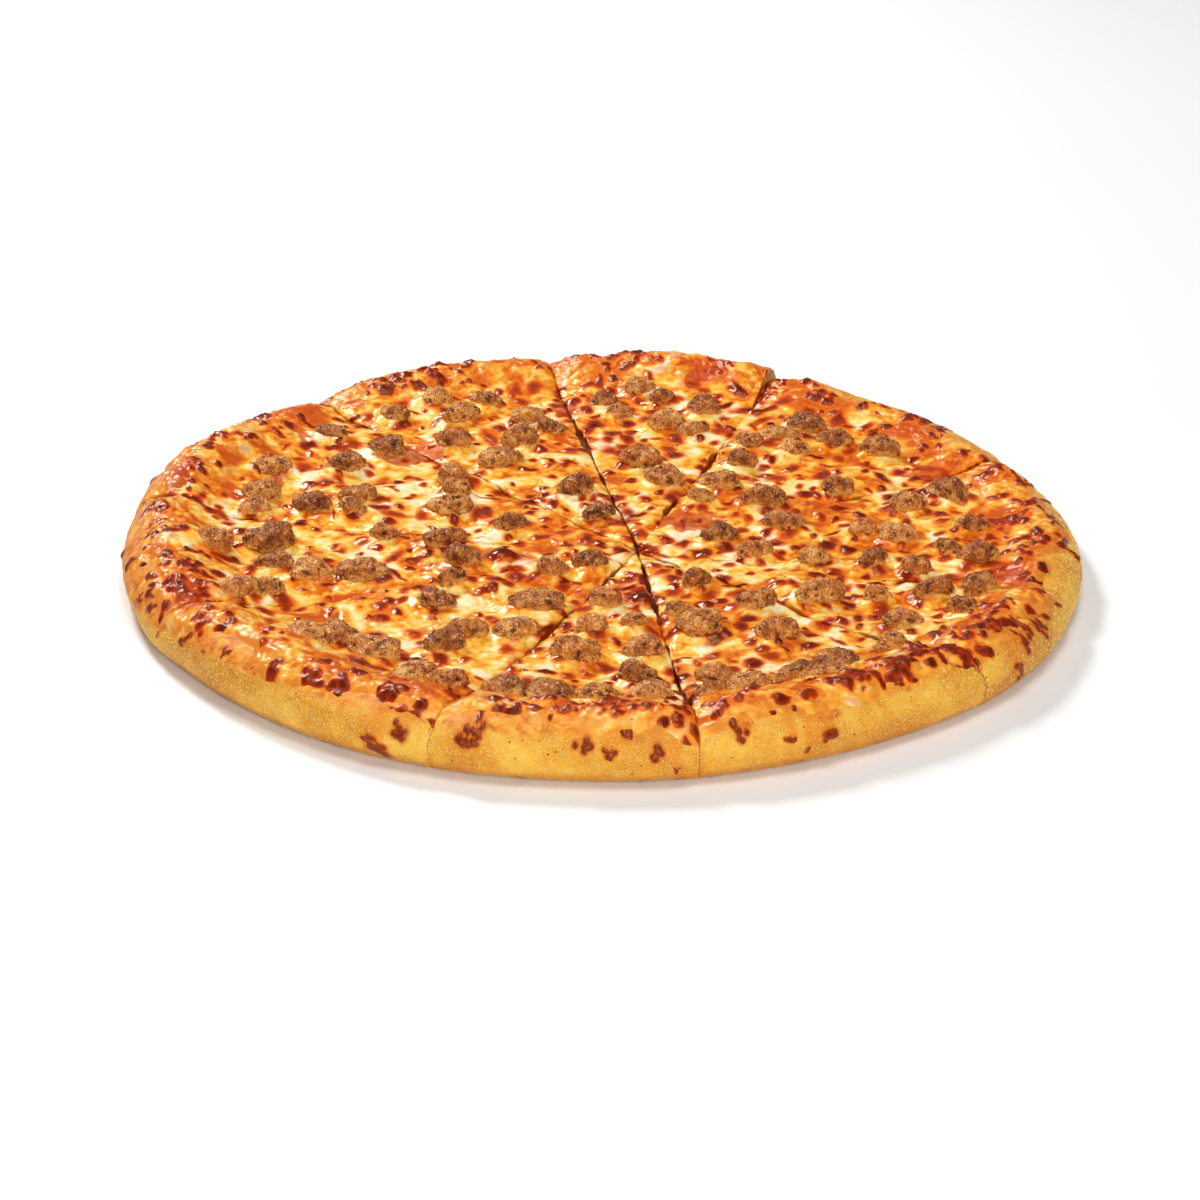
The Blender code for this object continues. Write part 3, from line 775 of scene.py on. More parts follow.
def cheese_top(number, plan, lumps):
    """The cheese's top over a slice: its points, and the values on them that its material reads."""
    x, y = spread_over_cuts(number, plan).T
    radius, angle = np.hypot(x, y), np.arctan2(y, x)
    dough = section_height(radius, DOUGH_TOP)
    thickness = np.maximum(section_height(radius, CHEESE_TOP) - dough, LIP_THICKNESS)
    to_edge = cheese_edge(angle) - radius
    lip = np.clip(to_edge / LIP_WIDTH, -1, 1)
    profile = np.where(lip > 0, dome(1 - (1 - lip) ** 2), lip * LIP_SLOPE)
    top = baked(number, x, y, dough + thickness * profile)

    spots, dark = spot_field(warped(plan, *SPOT_BEND), SPOTS)
    sauce = sauce_field(plan)
    shred, strand = folds(plan, SHREDS, SHRED_STRETCH), folds(plan, STRANDS)
    relief = rough(warped(plan, *SWELL_BEND), CHEESE_SWELL) + SHREDS.height * (shred - SHREDS.flat)
    relief = relief + STRANDS.height * (strand - STRANDS.flat)
    crackle = ramp(radius, *CRACKLE_BAND) * (folds(plan, CRACKLE) - CRACKLE.flat)
    relief = relief * (1 - SAUCE_CALM * sauce) - SAUCE_DEPTH * sauce + CRACKLE.height * crackle
    blisters = BLISTER_HEIGHT * dome(spots) * (0.5 + 0.5 * dark)
    relief = relief + blisters * (1 + 0.5 * ramp(radius, *BLISTER_BAND))
    for at_x, at_y, size in DARK_BLISTERS:
        away = np.hypot(x - at_x, y - at_y) / size
        relief = relief + DOME_SHARE * size * dome(1 - away ** 2)
    relief = relief + MENISCUS * bell(meat_distance(plan, lumps) / MENISCUS_WIDTH)
    droop = DROOP * (DROOP_SHARE + rough(plan, CUT_DROOP))
    relief = relief - droop * bell(cut_distance(number, plan) / DROOP_WIDTH)
    top[:, 2] += relief * np.where(lip > 0, np.minimum(1, LEAST_RELIEF + lip), LEAST_RELIEF)
    return top, {"spot": spots, "dark": dark, "sauce": sauce, "shred": 0.65 * shred + 0.35 * strand,
                 "bake": ramp(radius, *BAKE_BAND), "edge": ramp(to_edge, *EDGE_FADE)}


def cheese_piece(number, surface, lumps):
    plan, triangles, loop = rings(number, CHEESE_SPACING, LATTICE_RADIUS)
    top, values = cheese_top(number, plan, lumps)
    points, faces, wall = [top], list(triangles), [np.zeros(len(top))]

    # Side walls, rounded outwards at the top and tucked in below
    ways = side_ways(number, plan[loop])
    upper = list(loop)
    for step, (shift, drop) in enumerate(WALL_STEPS, 1):
        first = points_in(points)
        lower = list(range(first, first + len(loop)))
        points.append(top[loop] + ways * shift + np.array((0, 0, drop)))
        wall.append(np.full(len(loop), step / len(WALL_STEPS)))
        for n in range(len(loop)):
            m = (n + 1) % len(loop)
            faces.append((upper[n], upper[m], lower[m]))
            faces.append((upper[n], lower[m], lower[n]))
        upper = lower

    # A coarse underside, just inside the dough
    low_plan, low_triangles, low_loop = rings(number, UNDER_SPACING, LATTICE_RADIUS - UNDER_INSET)
    low_dough = section_height(polar(low_plan)[0], DOUGH_TOP)
    bottom = baked(number, low_plan[:, 0], low_plan[:, 1], low_dough - UNDER_DEPTH)
    first = points_in(points)
    faces += shifted(low_triangles, first)
    faces += zipped(upper, points[-1], [first + n for n in low_loop], bottom[low_loop])
    points.append(bottom)
    wall.append(np.ones(len(bottom)))

    # The top's values go on down the walls
    fields = {"wall": np.concatenate(wall)}
    for title, rest in UNDERSIDE.items():
        walls = [values[title][loop]] * len(WALL_STEPS)
        fields[title] = np.concatenate((values[title], *walls, np.full(len(bottom), rest)))
    points = np.concatenate(points) + push_of(number)
    return make_piece(numbered("melted_cheese", number), points, faces, surface, fields)


def side_ways(number, places):
    """Outward directions at the points of a slice's outline."""
    tip, inward = slice_corner(number)
    offsets = places - tip
    at_start, at_end = offsets @ inward[0], offsets @ inward[1]
    radius = np.hypot(places[:, 0], places[:, 1])
    ways = np.where((np.abs(at_start) < np.abs(at_end))[:, None], -inward[0], -inward[1])
    outer = np.minimum(np.abs(at_start), np.abs(at_end)) > ON_CUT
    ways[outer] = places[outer] / radius[outer, None]
    return np.column_stack((ways, np.zeros(len(ways))))


def crust_profile():
    """The crust's section as radii, heights and distances past the start of its fine outer side."""
    section = np.array(DOUGH_SECTION)
    steps = np.linalg.norm(np.diff(section, axis=0), axis=1)
    along = np.concatenate(((0.0,), np.cumsum(steps)))
    fine_from = np.interp(FINE_RADIUS, section[:len(DOUGH_TOP), 0], along[:len(DOUGH_TOP)])
    bed_end, fine_to, axis = along[2], along[-2], along[-1]
    bed = np.linspace(TIP_RADIUS, bed_end, BED_ROWS)
    slope = np.linspace(bed_end, fine_from, SLOPE_ROWS)[1:]
    fine = np.linspace(fine_from, fine_to, round((fine_to - fine_from) / CRUST_SPACING))[1:]
    under = np.linspace(fine_to, axis - TIP_RADIUS, UNDER_ROWS)[1:]
    marks = np.concatenate((bed, slope, fine, under))
    radii, heights = np.interp(marks, along, section[:, 0]), np.interp(marks, along, section[:, 1])
    return radii, np.maximum(smoothed(heights, SMOOTHING), 0), marks - fine_from


def smoothed(values, times):
    values = values.copy()
    for _ in range(times):
        values[1:-1] = (values[:-2] + 2 * values[1:-1] + values[2:]) / 4
    return values


def film_level(angle):
    """Height down to which the melted film covers the crust in a direction."""
    return FILM_LEVEL - FILM_DROP * at_left(angle)


def crust_columns(start, end):
    """Directions over a slice, closer together beside its cuts."""
    count = round(OUTER_RADIUS * (end - start) / CRUST_SPACING)
    even = np.linspace(start, end, count + 1)
    extra = CUT_COLUMNS * (even[1] - even[0])
    return np.sort(np.concatenate((even, start + extra, end - extra)))


def crust_faces(rows, columns, top_tip, bottom_tip):
    """Triangles over the crust's skin, and last one face for each of its cuts."""
    faces = []
    for column in range(columns - 1):
        here, there = column * rows, (column + 1) * rows
        faces.append((top_tip, here, there))
        faces.append((bottom_tip, there + rows - 1, here + rows - 1))
        for n in range(rows - 1):
            faces.append((here + n, here + n + 1, there + n + 1))
            faces.append((here + n, there + n + 1, there + n))
    faces.append((top_tip, *range(rows), bottom_tip))
    faces.append((bottom_tip, *range(columns * rows - 1, (columns - 1) * rows - 1, -1), top_tip))
    return faces


def crust_piece(number, surface, crumb):
    tip, _ = slice_corner(number)
    radii, heights, marks = crust_profile()
    angles = crust_columns(*slice_angles(number))
    rows, columns = len(radii), len(angles)
    reach = np.maximum(reach_from(tip, angles[:, None], radii[None, :]), LEAST_REACH)
    x = tip[0] + np.cos(angles)[:, None] * reach
    y = tip[1] + np.sin(angles)[:, None] * reach
    plan = np.column_stack((x.ravel(), y.ravel()))
    moved = spread_over_cuts(number, plan)
    rim = baked(number, moved[:, 0], moved[:, 1], np.tile(heights, columns))
    drips, runs = drip_field(rim)
    raised = DRIP_HEIGHT * dome(drips) + RUN_HEIGHT * runs
    uneven = rough(rim, CRUST_SWELL) + rough(rim, CRUST_GRAIN)
    corner = CORNER_DEPTH * bell(cut_distance(number, plan) / CORNER_WIDTH)
    out = np.column_stack((rim[:, 0], rim[:, 1], np.zeros(len(rim))))
    out = out / np.linalg.norm(out, axis=1)[:, None]
    facing = np.tile(ramp(heights, *CRUST_FOOT) * (marks > 0), columns)
    rim = rim + out * ((uneven + raised - CRUST_INSET - corner) * facing)[:, None]
    rim[:, 2] -= corner * facing * np.tile(ramp(heights, *CORNER_RISE), columns)
    tips = baked(number, np.full(2, tip[0]), np.full(2, tip[1]), np.array((DOUGH_SECTION[0][1], 0.0)))
    faces = crust_faces(rows, columns, len(rim), len(rim) + 1)
    level = film_level(polar(rim)[1])
    film = ramp(rim[:, 2] + rough(rim, FILM_RAG), level + FILM_FADE[0], level + FILM_FADE[1])
    covered = np.tile(ramp(radii, *COVER_BAND), columns)
    values = (("sauced", covered, 1.0), ("drip", drips, OUTSIDE), ("run", runs, 0.0), ("film", film, 0.0))
    fields = {title: np.append(skin, (at_tips, at_tips)) for title, skin, at_tips in values}
    points = np.concatenate((rim, tips)) + push_of(number)
    piece = make_piece(numbered("baked_crust", number), points, faces, surface, fields)
    piece.data.materials.append(crumb)
    for cut in (-1, -2):
        piece.data.polygons[len(faces) + cut].material_index = 1
    piece.data.set_sharp_from_angle(angle=SHARP_ANGLE)
    return piece


def drip_bubbles():
    """Bubbles of the burnt drips as rows of direction, height and radius."""
    draw = np.random.RandomState(SEED * 13)
    rows = []
    for direction, height, size in DRIPS:
        for _ in range(max(2, round(size / BUBBLE_PITCH))):
            across, up = draw.normal(0, size * BUBBLE_SPREAD, 2)
            radius = size * draw.uniform(*BUBBLE_SIZES)
            rows.append((radians(direction) + across / OUTER_RADIUS, height + up * BUBBLE_SQUASH, radius))
    return rows


BUBBLES = drip_bubbles()


def drip_field(points):
    """How deep points of the crust are in a burnt bubble, and how near a trail of cheese above one."""
    radius, angle = polar(points)
    outside = radius > DRIP_RADIUS
    best = np.full(len(points), OUTSIDE)
    trail = np.zeros(len(points))
    wobble = 1 + rough(points, DRIP_WOBBLE)
    for where, height, size in BUBBLES:
        across = turn_from(angle, where) * OUTER_RADIUS / size
        near = np.flatnonzero((np.abs(across) < SPOT_REACH) & outside)
        up = (points[near, 2] - height) / size
        best[near] = np.maximum(best[near], 1 - np.hypot(across[near], up) * wobble[near])
    for direction, height, size in DRIPS:
        across = turn_from(angle, radians(direction)) * OUTER_RADIUS / size
        near = np.flatnonzero((np.abs(across) < TRAIL_REACH) & outside)
        above = ramp(points[near, 2], height - size, height + size)
        trail[near] = np.maximum(trail[near], above * bell(across[near] * wobble[near]))
    return best, trail


def geodesic(fineness):
    """Points and triangles of an even ball of diameter 1."""
    cage = bmesh.new()
    bmesh.ops.create_icosphere(cage, subdivisions=1, radius=1.0)
    corners = [np.array(vertex.co) for vertex in cage.verts]
    sides = [[vertex.index for vertex in face.verts] for face in cage.faces]
    cage.free()
    places, triangles, known = [], [], {}

    def number_of(point):
        key = tuple(np.round(point, 6) + 0.0)
        if key not in known:
            known[key] = len(places)
            places.append(point)
        return known[key]

    for a, b, c in sides:
        grid = {}
        for i in range(fineness + 1):
            for j in range(fineness + 1 - i):
                point = corners[a] * (fineness - i - j) + corners[b] * i + corners[c] * j
                grid[i, j] = number_of(point / np.linalg.norm(point))
        for i in range(fineness):
            for j in range(fineness - i):
                triangles.append((grid[i, j], grid[i + 1, j], grid[i, j + 1]))
                if i + j < fineness - 1:
                    triangles.append((grid[i + 1, j], grid[i + 1, j + 1], grid[i, j + 1]))
    return np.array(places) / 2, triangles


BALLS = {fineness: geodesic(fineness) for fineness in (LARGE_FINENESS, SMALL_FINENESS)}


Lump = namedtuple("Lump", "node at level size turn seed points")


def dented(points, seed):
    """How much further out than its ellipsoid a lump's surface is, at points of the ellipsoid."""
    places = points / LUMP_SIZE + LUMP_SHIFT * seed
    return 1 + np.array([noise.noise(Vector(place)) for place in places]) * LUMP_DEPTH * 2


def turned(points, turn):
    """Points turned about the vertical."""
    x = points[:, 0] * cos(turn) - points[:, 1] * sin(turn)
    y = points[:, 0] * sin(turn) + points[:, 1] * cos(turn)
    return np.column_stack((x, y, points[:, 2]))


def slice_lumps(number):
    """Every piece of meat on a slice: its node or none, place, size, turn, seed and points."""
    found = []
    rows = [(f"sausage_{number + 1:02d}_{count}", *row, SEED * number + count)
            for count, row in enumerate(draw_lumps(number, SAUSAGES, SAUSAGE_HEIGHT, SEED + number), 1)]
    rows += [(None, *row, SEED + 7 * count)
             for count, row in enumerate(draw_lumps(number, CRUMBLES, CRUMBLE_HEIGHT, SEED * 100 + number))]
    for node, at, size, turn, seed in rows:
        ball = BALLS[LARGE_FINENESS if node else SMALL_FINENESS][0] * size
        points = turned(ball * dented(ball, seed)[:, None], turn)
        at = np.array(at)
        at = at + clear_of_cuts(number, points[:, :2] + at)
        level = float(surface_height(number, at[0], at[1])) + size[2] * (0.5 - SAUSAGE_SINK)
        found.append(Lump(node, at, level, size, turn, seed, points + np.array((*at, level))))
    return found


def pushed_out(points, lump):
    """Points moved to the surface of a lump where they are inside it."""
    centre = np.array((*lump.at, lump.level))
    local = turned(points - centre, -lump.turn)
    share = np.linalg.norm(local / (lump.size / 2), axis=1)
    near = np.flatnonzero(share < 1 + LUMP_DEPTH * 2)
    if not len(near):
        return points
    skin = local[near] / np.maximum(share[near], 0.05)[:, None]
    skin = skin * (dented(skin, lump.seed) * PUSH_OUT)[:, None]
    inside = np.linalg.norm(skin, axis=1) > np.linalg.norm(local[near], axis=1)
    moved = points.copy()
    moved[near[inside]] = (turned(skin, lump.turn) + centre)[inside]
    return moved


def rough_meat(number, lump, earlier):
    """A lump's points with the grain of ground meat and a flat foot in the cheese, and two fields."""
    points = lump.points
    for other in earlier:
        points = pushed_out(points, other)
    ways = points - np.array((*lump.at, lump.level - lump.size[2] * GRAIN_CENTRE))
    ways = ways / np.maximum(np.linalg.norm(ways, axis=1), 1e-9)[:, None]
    knobs = folds(points, MEAT_KNOBS) - MEAT_KNOBS.flat
    grain = layered(points, *MEAT_GRAIN.noise)
    pits = ramp(layered(points, *MEAT_PITS.noise), *PIT_RANGE)
    raised = MEAT_KNOBS.height * knobs + MEAT_GRAIN.height * grain - MEAT_PITS.height * pits
    points = points + ways * raised[:, None]
    floor_level = surface_height(number, points[:, 0], points[:, 1]) - FOOT_DEPTH
    foot = ramp(points[:, 2] - floor_level + FOOT_RAG * grain, *FOOT_FADE)
    points[:, 2] = np.maximum(points[:, 2], floor_level)
    return points + push_of(number), foot, pits


def meat_pieces(number, surface, lumps):
    """One piece for each large lump, and one for all the crumbles of the slice."""
    made, small, faces = [], [], []
    joined = {"foot": [], "shade": [], "pit": []}
    large = [lump for lump in lumps if lump.node]
    for lump in lumps:
        earlier = large[:large.index(lump)] if lump.node else large
        points, foot, pits = rough_meat(number, lump, earlier)
        shade = np.full(len(points), (lump.seed * SHADE_STEP) % 1)
        fields = {"foot": foot, "shade": shade, "pit": pits}
        if lump.node:
            title = lump.node.replace("sausage", "meat")
            piece = make_piece(title, points, BALLS[LARGE_FINENESS][1], surface, fields)
            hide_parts(lump.node)
            made.append(piece)
        else:
            faces += shifted(BALLS[SMALL_FINENESS][1], points_in(small))
            small.append(points)
            for title, values in fields.items():
                joined[title].append(values)
    fields = {title: np.concatenate(values) for title, values in joined.items()}
    piece = make_piece(numbered("crumbles", number), np.concatenate(small), faces, surface, fields)
    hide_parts(numbered("cheese", number))
    return [*made, piece]


def specks(name, places, ways, sizes, flatness, surface, seed):
    """Small uneven grains that lie on a surface, all in one piece."""
    draw = np.random.RandomState(seed)
    corners = np.array(((1, 0, 0), (-1, 0, 0), (0, 1, 0), (0, -1, 0), (0, 0, 1), (0, 0, -1)), float)
    sides = ((0, 2, 4), (2, 1, 4), (1, 3, 4), (3, 0, 4), (2, 0, 5), (1, 2, 5), (3, 1, 5), (0, 3, 5))
    points, faces = [], []
    for place, way, size in zip(places, ways, sizes):
        shape = corners * draw.uniform(*GRAIN_SHAPE, 3) * np.array((1, GRAIN_WIDTH, flatness)) * size
        shape = turned(shape, draw.uniform(0, 2 * pi))
        upright = np.array(Vector(way).to_track_quat("Z", "Y").to_matrix())
        faces += shifted(sides, len(points))
        points.extend(shape @ upright.T + place + way * size * flatness * GRAIN_LIFT)
    return make_piece(name, np.array(points), faces, surface)


def scatter_on(pieces, count, sizes, chosen, seed):
    """Seeded places on the faces of pieces that a test chooses, with their directions and sizes."""
    draw = np.random.RandomState(seed)
    centres, ways = [], []
    for piece in pieces:
        sides = piece.data.polygons
        middle, way = np.empty(len(sides) * 3), np.empty(len(sides) * 3)
        sides.foreach_get("center", middle)
        sides.foreach_get("normal", way)
        middle, way = middle.reshape(-1, 3), way.reshape(-1, 3)
        keep = chosen(middle, way)
        centres.append(middle[keep])
        ways.append(way[keep])
    centres, ways = np.concatenate(centres), np.concatenate(ways)
    picks = draw.choice(len(centres), count, replace=False)
    return centres[picks], ways[picks], draw.uniform(*sizes, count)


class Tree:
    """Short calls for building a material's nodes."""

    def __init__(self, name, **settings):
        self.surface = bpy.data.materials.new(name)
        self.surface.use_nodes = True
        self.nodes = self.surface.node_tree.nodes
        self.links = self.surface.node_tree.links
        self.shader = self.nodes["Principled BSDF"]
        for title, value in settings.items():
            self.shader.inputs[title.replace("_", " ")].default_value = value
        self.place = self.nodes.new("ShaderNodeTexCoord").outputs["Object"]
        self.colour = None

    def put(self, value, socket):
        if isinstance(value, bpy.types.NodeSocket):
            self.links.new(value, socket)
        else:
            socket.default_value = value

    def put_colour(self, colour, socket):
        """Takes a node's colour, or red, green and blue."""
        self.put(colour if isinstance(colour, bpy.types.NodeSocket) else paint(*colour), socket)

    def math(self, kind, a, b):
        node = self.nodes.new("ShaderNodeMath")
        node.operation = kind
        self.put(a, node.inputs[0])
        self.put(b, node.inputs[1])
        return node.outputs[0]

    def times(self, a, b):
        return self.math("MULTIPLY", a, b)

    def plus(self, total, *others):
        for other in others:
            total = self.math("ADD", total, other)
        return total

    def noise(self, size, detail=3.0, distortion=0.0):
        node = self.nodes.new("ShaderNodeTexNoise")
        node.inputs["Scale"].default_value = 1 / size
        node.inputs["Detail"].default_value = detail
        node.inputs["Roughness"].default_value = NOISE_ROUGHNESS
        node.inputs["Distortion"].default_value = distortion
        self.links.new(self.place, node.inputs["Vector"])
        return node.outputs[0]

    def cells(self, size):
        node = self.nodes.new("ShaderNodeTexVoronoi")
        node.inputs["Scale"].default_value = 1 / size
        self.links.new(self.place, node.inputs["Vector"])
        return node.outputs[0]

    def value(self, name):
        node = self.nodes.new("ShaderNodeAttribute")
        node.attribute_name = name
        return node.outputs["Fac"]

    def along(self, axis):
        """The place along one axis."""
        node = self.nodes.new("ShaderNodeSeparateXYZ")
        self.links.new(self.place, node.inputs[0])
        return node.outputs[axis]

    def facing(self, axis):
        """How much the surface faces along one axis."""
        node = self.nodes.new("ShaderNodeSeparateXYZ")
        self.links.new(self.nodes.new("ShaderNodeNewGeometry").outputs["Normal"], node.inputs[0])
        return node.outputs[axis]

    def ramp(self, share, *stops):
        """A colour from stops of share, red, green and blue."""
        node = self.nodes.new("ShaderNodeValToRGB")
        stripe = node.color_ramp.elements
        while len(stripe) < len(stops):
            stripe.new(0.5)
        for element, (position, *colour) in zip(stripe, stops):
            element.position = position
            element.color = paint(*colour)
        self.put(share, node.inputs[0])
        return node.outputs[0]

    def step(self, value, low, high):
        node = self.nodes.new("ShaderNodeMapRange")
        node.interpolation_type = "SMOOTHSTEP"
        self.put(value, node.inputs[0])
        node.inputs[1].default_value = low
        node.inputs[2].default_value = high
        return node.outputs[0]

    def mix(self, share, low, high):
        node = self.nodes.new("ShaderNodeMix")
        node.data_type = "RGBA"
        self.put(share, node.inputs[0])
        self.put_colour(low, node.inputs[6])
        self.put_colour(high, node.inputs[7])
        return node.outputs[2]

    def lay(self, share, colour, strength=None):
        """Lays another colour over the one so far."""
        if strength is not None:
            share = self.times(share, strength)
        self.colour = self.mix(share, self.colour, colour)

    def between(self, share, low, high):
        """A number that goes from low to high with the share."""
        return self.plus(self.times(share, high - low), low)

    def bump(self, height, distance, strength):
        node = self.nodes.new("ShaderNodeBump")
        node.inputs["Strength"].default_value = strength
        node.inputs["Distance"].default_value = distance
        self.links.new(height, node.inputs["Height"])
        self.links.new(node.outputs[0], self.shader.inputs["Normal"])

    def finish(self, roughness):
        self.put(self.colour, self.shader.inputs["Base Color"])
        self.put(roughness, self.shader.inputs["Roughness"])
        return self.surface


def cheese_surface():
    tree = Tree("melted_cheese", Subsurface_Weight=0.08, Subsurface_Scale=0.002, Specular_IOR_Level=0.45,
                Subsurface_Radius=(1.0, 0.45, 0.15), Specular_Tint=WARM_GLOSS)
    fine = tree.noise(0.0018)
    streak = tree.noise(0.0086, 2.4, 0.8)
    patch = tree.noise(0.021, 3.0, 0.8)
    bake, dark = tree.value("bake"), tree.value("dark")
    # The tone follows the folds of the relief: more orange in the creases, where oil pools, and paler on
    # the swells, a painted highlight
    tone = tree.plus(tree.times(tree.value("shred"), 0.20), tree.between(streak, -0.36, 0.54),
                     tree.between(patch, -0.72, 0.90), tree.between(fine, -0.06, 0.06))
    tone = tree.math("SUBTRACT", tone, tree.times(bake, 0.15))
    tree.colour = tree.ramp(
        tone, (0.00, 204, 84, 14), (0.12, 230, 122, 26), (0.22, 243, 160, 44), (0.33, 250, 194, 78),
        (0.45, 255, 220, 134), (0.58, 255, 239, 198))
    mottle = tree.step(tree.noise(0.0085, 4.0, 0.9), 0.50, 0.62)
    tree.lay(mottle, (206, 80, 18), tree.between(bake, 0.08, 0.62))
    spot = tree.plus(tree.value("spot"), tree.between(fine, -0.12, 0.12), tree.between(streak, -0.13, 0.13))
    tree.lay(tree.step(spot, -1.05, -0.25), (230, 112, 22), 0.90)
    red = tree.mix(tree.step(streak, 0.35, 0.65), (172, 40, 10), (226, 96, 30))
    sauce = tree.plus(tree.value("sauce"), tree.between(fine, -0.3, 0.3))
    tree.lay(tree.step(sauce, 0.25, 0.75), red, 0.85)
    core = tree.ramp(dark, (0.0, 204, 72, 12), (0.5, 176, 47, 8), (1.0, 134, 28, 5))
    tree.lay(tree.step(spot, -0.38, 0.06), core)
    tree.lay(tree.step(spot, 0.02, 0.62), (88, 16, 3), tree.between(dark, 0.50, 0.95))
    thin = tree.times(tree.value("edge"), tree.step(spot, 0.0, -0.4))
    tree.lay(thin, (240, 166, 62), 0.5)
    tree.lay(tree.value("wall"), (196, 86, 22), 0.8)
    tree.bump(tree.plus(fine, streak), 0.0004, 0.45)
    return tree.finish(tree.plus(tree.between(tree.noise(0.006), 0.12, 0.34), tree.times(bake, 0.10)))


def crust_surface():
    tree = Tree("golden_crust", Subsurface_Weight=0.06, Subsurface_Scale=0.002, Specular_IOR_Level=0.45,
                Subsurface_Radius=(1.0, 0.5, 0.2), Specular_Tint=WARM_GLOSS)
    fine = tree.noise(0.0012)
    tone = tree.plus(tree.between(tree.noise(0.024, 4.0), -0.7, 1.0), tree.between(fine, -0.2, 0.2),
                     tree.between(tree.noise(0.005), 0.0, 0.35))
    tree.colour = tree.ramp(
        tone, (0.0, 204, 128, 30), (0.3, 227, 158, 47), (0.6, 241, 189, 72), (0.9, 246, 215, 116))
    height = tree.along("Z")
    # Painted shade: the crust is painted darker towards its foot on the table, a painted contact shadow
    tree.lay(tree.step(height, 0.0085, 0.001), (206, 122, 34), 0.6)
    grains = tree.step(tree.cells(0.0011), 0.38, 0.20)
    tree.lay(grains, (255, 230, 150), 0.55)
    tree.lay(tree.step(fine, 0.45, 0.30), (216, 134, 34), 0.3)
    tree.lay(tree.value("sauced"), (158, 50, 14), tree.step(height, 0.004, 0.006))
    toast = tree.mix(tree.step(tree.noise(0.009, 4.0), 0.50, 0.68), (224, 176, 108), (150, 88, 38))
    tree.lay(tree.step(tree.facing("Z"), -0.55, -0.9), toast)
    melt = tree.ramp(tree.noise(0.0062, 4.0, 1.0), (0.34, 188, 70, 14), (0.44, 220, 112, 28),
                     (0.56, 242, 156, 50), (0.68, 252, 196, 92))
    tree.lay(tree.value("film"), melt, 0.85)
    tree.lay(tree.value("run"), (226, 132, 40), 0.75)
    drip = tree.plus(tree.value("drip"), tree.between(fine, -0.3, 0.3))
    tree.lay(tree.step(drip, -0.9, 0.0), (214, 112, 30), 0.75)
    tree.lay(tree.step(drip, -0.15, 0.2), (150, 52, 14))
    tree.lay(tree.step(drip, 0.3, 0.8), (92, 24, 8), 0.7)
    tree.bump(tree.plus(fine, grains), 0.0005, 0.6)
    return tree.finish(tree.math("SUBTRACT", 0.54, tree.times(tree.step(drip, -0.1, 0.2), 0.32)))


def crumb_surface():
    """Dough as it shows in a cut."""
    tree = Tree("bread_crumb", Specular_IOR_Level=0.2)
    pores = tree.step(tree.cells(0.0022), 0.42, 0.22)
    tree.colour = tree.mix(tree.noise(0.008, 4.0), (226, 168, 88), (208, 136, 58))
    tree.lay(pores, (186, 116, 50), 0.6)
    tree.bump(tree.math("SUBTRACT", tree.noise(0.0015), pores), 0.0006, 0.8)
    return tree.finish(tree.between(pores, 0.6, 0.8))


def meat_surface():
    tree = Tree("sausage_meat", Specular_IOR_Level=0.75, Specular_Tint=MEAT_GLOSS)
    broad = tree.noise(0.0045, 4.0)
    fine = tree.noise(0.0008, 4.0)
    holes = tree.cells(0.0013)
    tone = tree.plus(tree.between(broad, -0.55, 0.85), tree.between(fine, -0.45, 0.45),
                     tree.between(tree.value("shade"), 0.15, 0.45))
    tree.colour = tree.ramp(
        tone, (0.08, 94, 34, 8), (0.32, 164, 82, 29), (0.56, 214, 127, 54), (0.84, 255, 194, 108))
    pits = tree.plus(tree.value("pit"), tree.between(fine, -0.25, 0.25))
    tree.lay(tree.step(pits, 0.30, 0.8), (72, 26, 9), 0.8)
    tree.lay(tree.step(holes, 0.24, 0.14), (40, 16, 8))
    patches = tree.step(tree.noise(0.011), 0.50, 0.72)
    film = tree.plus(tree.value("foot"), tree.between(broad, -0.3, 0.3), tree.between(patches, 0.0, 0.65))
    cheesy = tree.mix(fine, (214, 122, 42), (250, 196, 100))
    tree.lay(tree.step(film, 0.34, 0.9), cheesy, 0.80)
    tree.bump(tree.plus(fine, holes), 0.0009, 1.0)
    return tree.finish(tree.between(broad, 0.18, 0.46))


def grain_surface(name, low, high):
    tree = Tree(name, Specular_IOR_Level=0.3)
    tree.colour = tree.mix(tree.noise(0.002, 2.0), low, high)
    return tree.finish(tree.between(tree.noise(0.001), 0.4, 0.7))


def ride_all(pieces):
    for piece in pieces:
        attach(piece, "root")


def outer_side(middle, way):
    """Chooses the crust's bare outer side."""
    radius, angle = polar(middle)
    bare = middle[:, 2] < film_level(angle) + MEAL_INTO_FILM
    clean = drip_field(middle)[0] < MEAL_OFF_DRIPS
    upright = (way[:, 2] > LEAST_FACING) & (middle[:, 2] > MEAL_HEIGHT)
    return (radius > MEAL_RADIUS) & bare & clean & upright


def open_top(middle, way):
    """Chooses the cheese's upper side."""
    return (way[:, 2] > PEPPER_FACING) & (middle[:, 2] > PEPPER_HEIGHT)


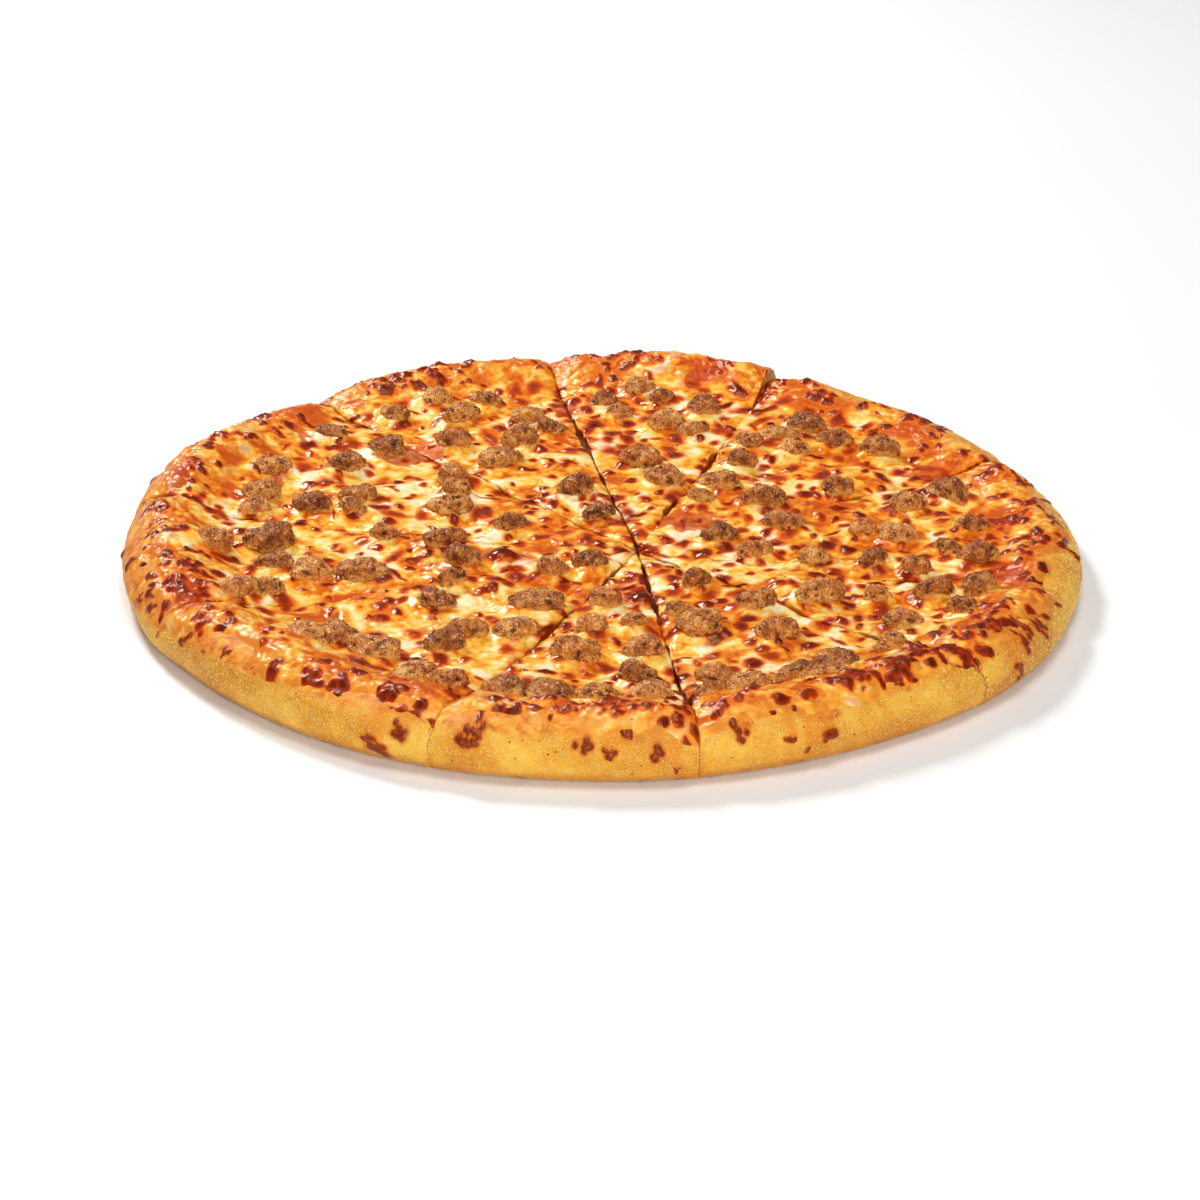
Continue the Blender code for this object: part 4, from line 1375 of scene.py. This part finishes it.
def dress():
    cheese, crust, crumb, meat = cheese_surface(), crust_surface(), crumb_surface(), meat_surface()
    toppings, rims = [], []
    for number in range(len(SLICES)):
        lumps = slice_lumps(number)
        topping = cheese_piece(number, cheese, lumps)
        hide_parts(numbered("cheese", number))
        toppings.append(topping)
        rim = crust_piece(number, crust, crumb)
        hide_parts(numbered("crust", number))
        rims.append(rim)
        ride_all(meat_pieces(number, meat, lumps))
    ride_all(toppings)
    ride_all(rims)

    places = scatter_on(rims, CORNMEAL.count, CORNMEAL.sizes, outer_side, SEED * 3)
    meal = grain_surface("cornmeal", (255, 232, 160), (255, 214, 124))
    ride_all([specks("cornmeal", *places, CORNMEAL.flatness, meal, SEED * 5)])
    half = PEPPER.count // 2
    herb = grain_surface("ground_pepper", (58, 34, 14), (74, 62, 22))
    on_crust = scatter_on(rims, half, PEPPER.sizes, outer_side, SEED * 17)
    on_cheese = scatter_on(toppings, half, PEPPER.sizes, open_top, SEED * 19)
    places = [np.concatenate(pair) for pair in zip(on_crust, on_cheese)]
    ride_all([specks("ground_pepper", *places, PEPPER.flatness, herb, SEED * 23)])


def floor():
    mesh = bpy.data.meshes.new("floor")
    corners = ((-1, -1), (1, -1), (1, 1), (-1, 1))
    mesh.from_pydata([(x * FLOOR_REACH, y * FLOOR_REACH, 0) for x, y in corners], [], [(0, 1, 2, 3)])
    piece = placed("floor", mesh)
    piece.location.z = -FLOOR_GAP
    tree = Tree("pale_floor")
    tree.colour = tree.mix(tree.noise(0.5, 2.0), (250, 250, 250), (246, 246, 246))
    mesh.materials.append(tree.finish(0.6))


def soft_light(name, at, size, power):
    lamp = bpy.data.lights.new(name, "AREA")
    lamp.shape = "DISK"
    lamp.size = size
    lamp.energy = power
    piece = placed(name, lamp)
    piece.location = at
    piece.rotation_mode = "QUATERNION"
    piece.rotation_quaternion = (-Vector(at)).to_track_quat("-Z", "Y")


def lights():
    soft_light("key", (-0.8, 1.2, 1.3), 0.45, 27)
    soft_light("top", (0.2, -0.2, 2.0), 0.9, 15)
    soft_light("front", (0.2, -1.8, 0.8), 0.9, 21)
    world = bpy.data.worlds.new("studio")
    world.use_nodes = True
    sky = world.node_tree.nodes["Background"]
    sky.inputs["Color"].default_value = (1.0, 1.0, 1.0, 1.0)
    sky.inputs["Strength"].default_value = 0.15
    bpy.context.scene.world = world
    bpy.context.scene.view_settings.view_transform = "Standard"


def camera():
    """Looks along +Y from the front, as the photograph does, with the origin at its place in the frame."""
    lens = bpy.data.cameras.new("camera")
    lens.sensor_width = 36.0
    lens.lens = FOCAL_PIXELS / PHOTO_SIZE * lens.sensor_width
    lens.clip_start = 0.05
    lens.clip_start = 0.05
    piece = placed("camera", lens)
    back = Vector((0, -cos(CAMERA_ELEVATION), sin(CAMERA_ELEVATION)))
    u, v = PHOTO_CENTRE[0] - PHOTO_SIZE / 2, PHOTO_CENTRE[1] - PHOTO_SIZE / 2
    lens.shift_x = -u / PHOTO_SIZE
    lens.shift_y = v / PHOTO_SIZE
    place = Matrix.Translation(back * CAMERA_DISTANCE)
    facing = (-back).to_track_quat("-Z", "Y").to_matrix().to_4x4()
    piece.matrix_world = place @ facing @ Matrix.Rotation(-CAMERA_ROLL, 4, "Z")
    bpy.context.scene.camera = piece


camera()
lights()
floor()
dress()
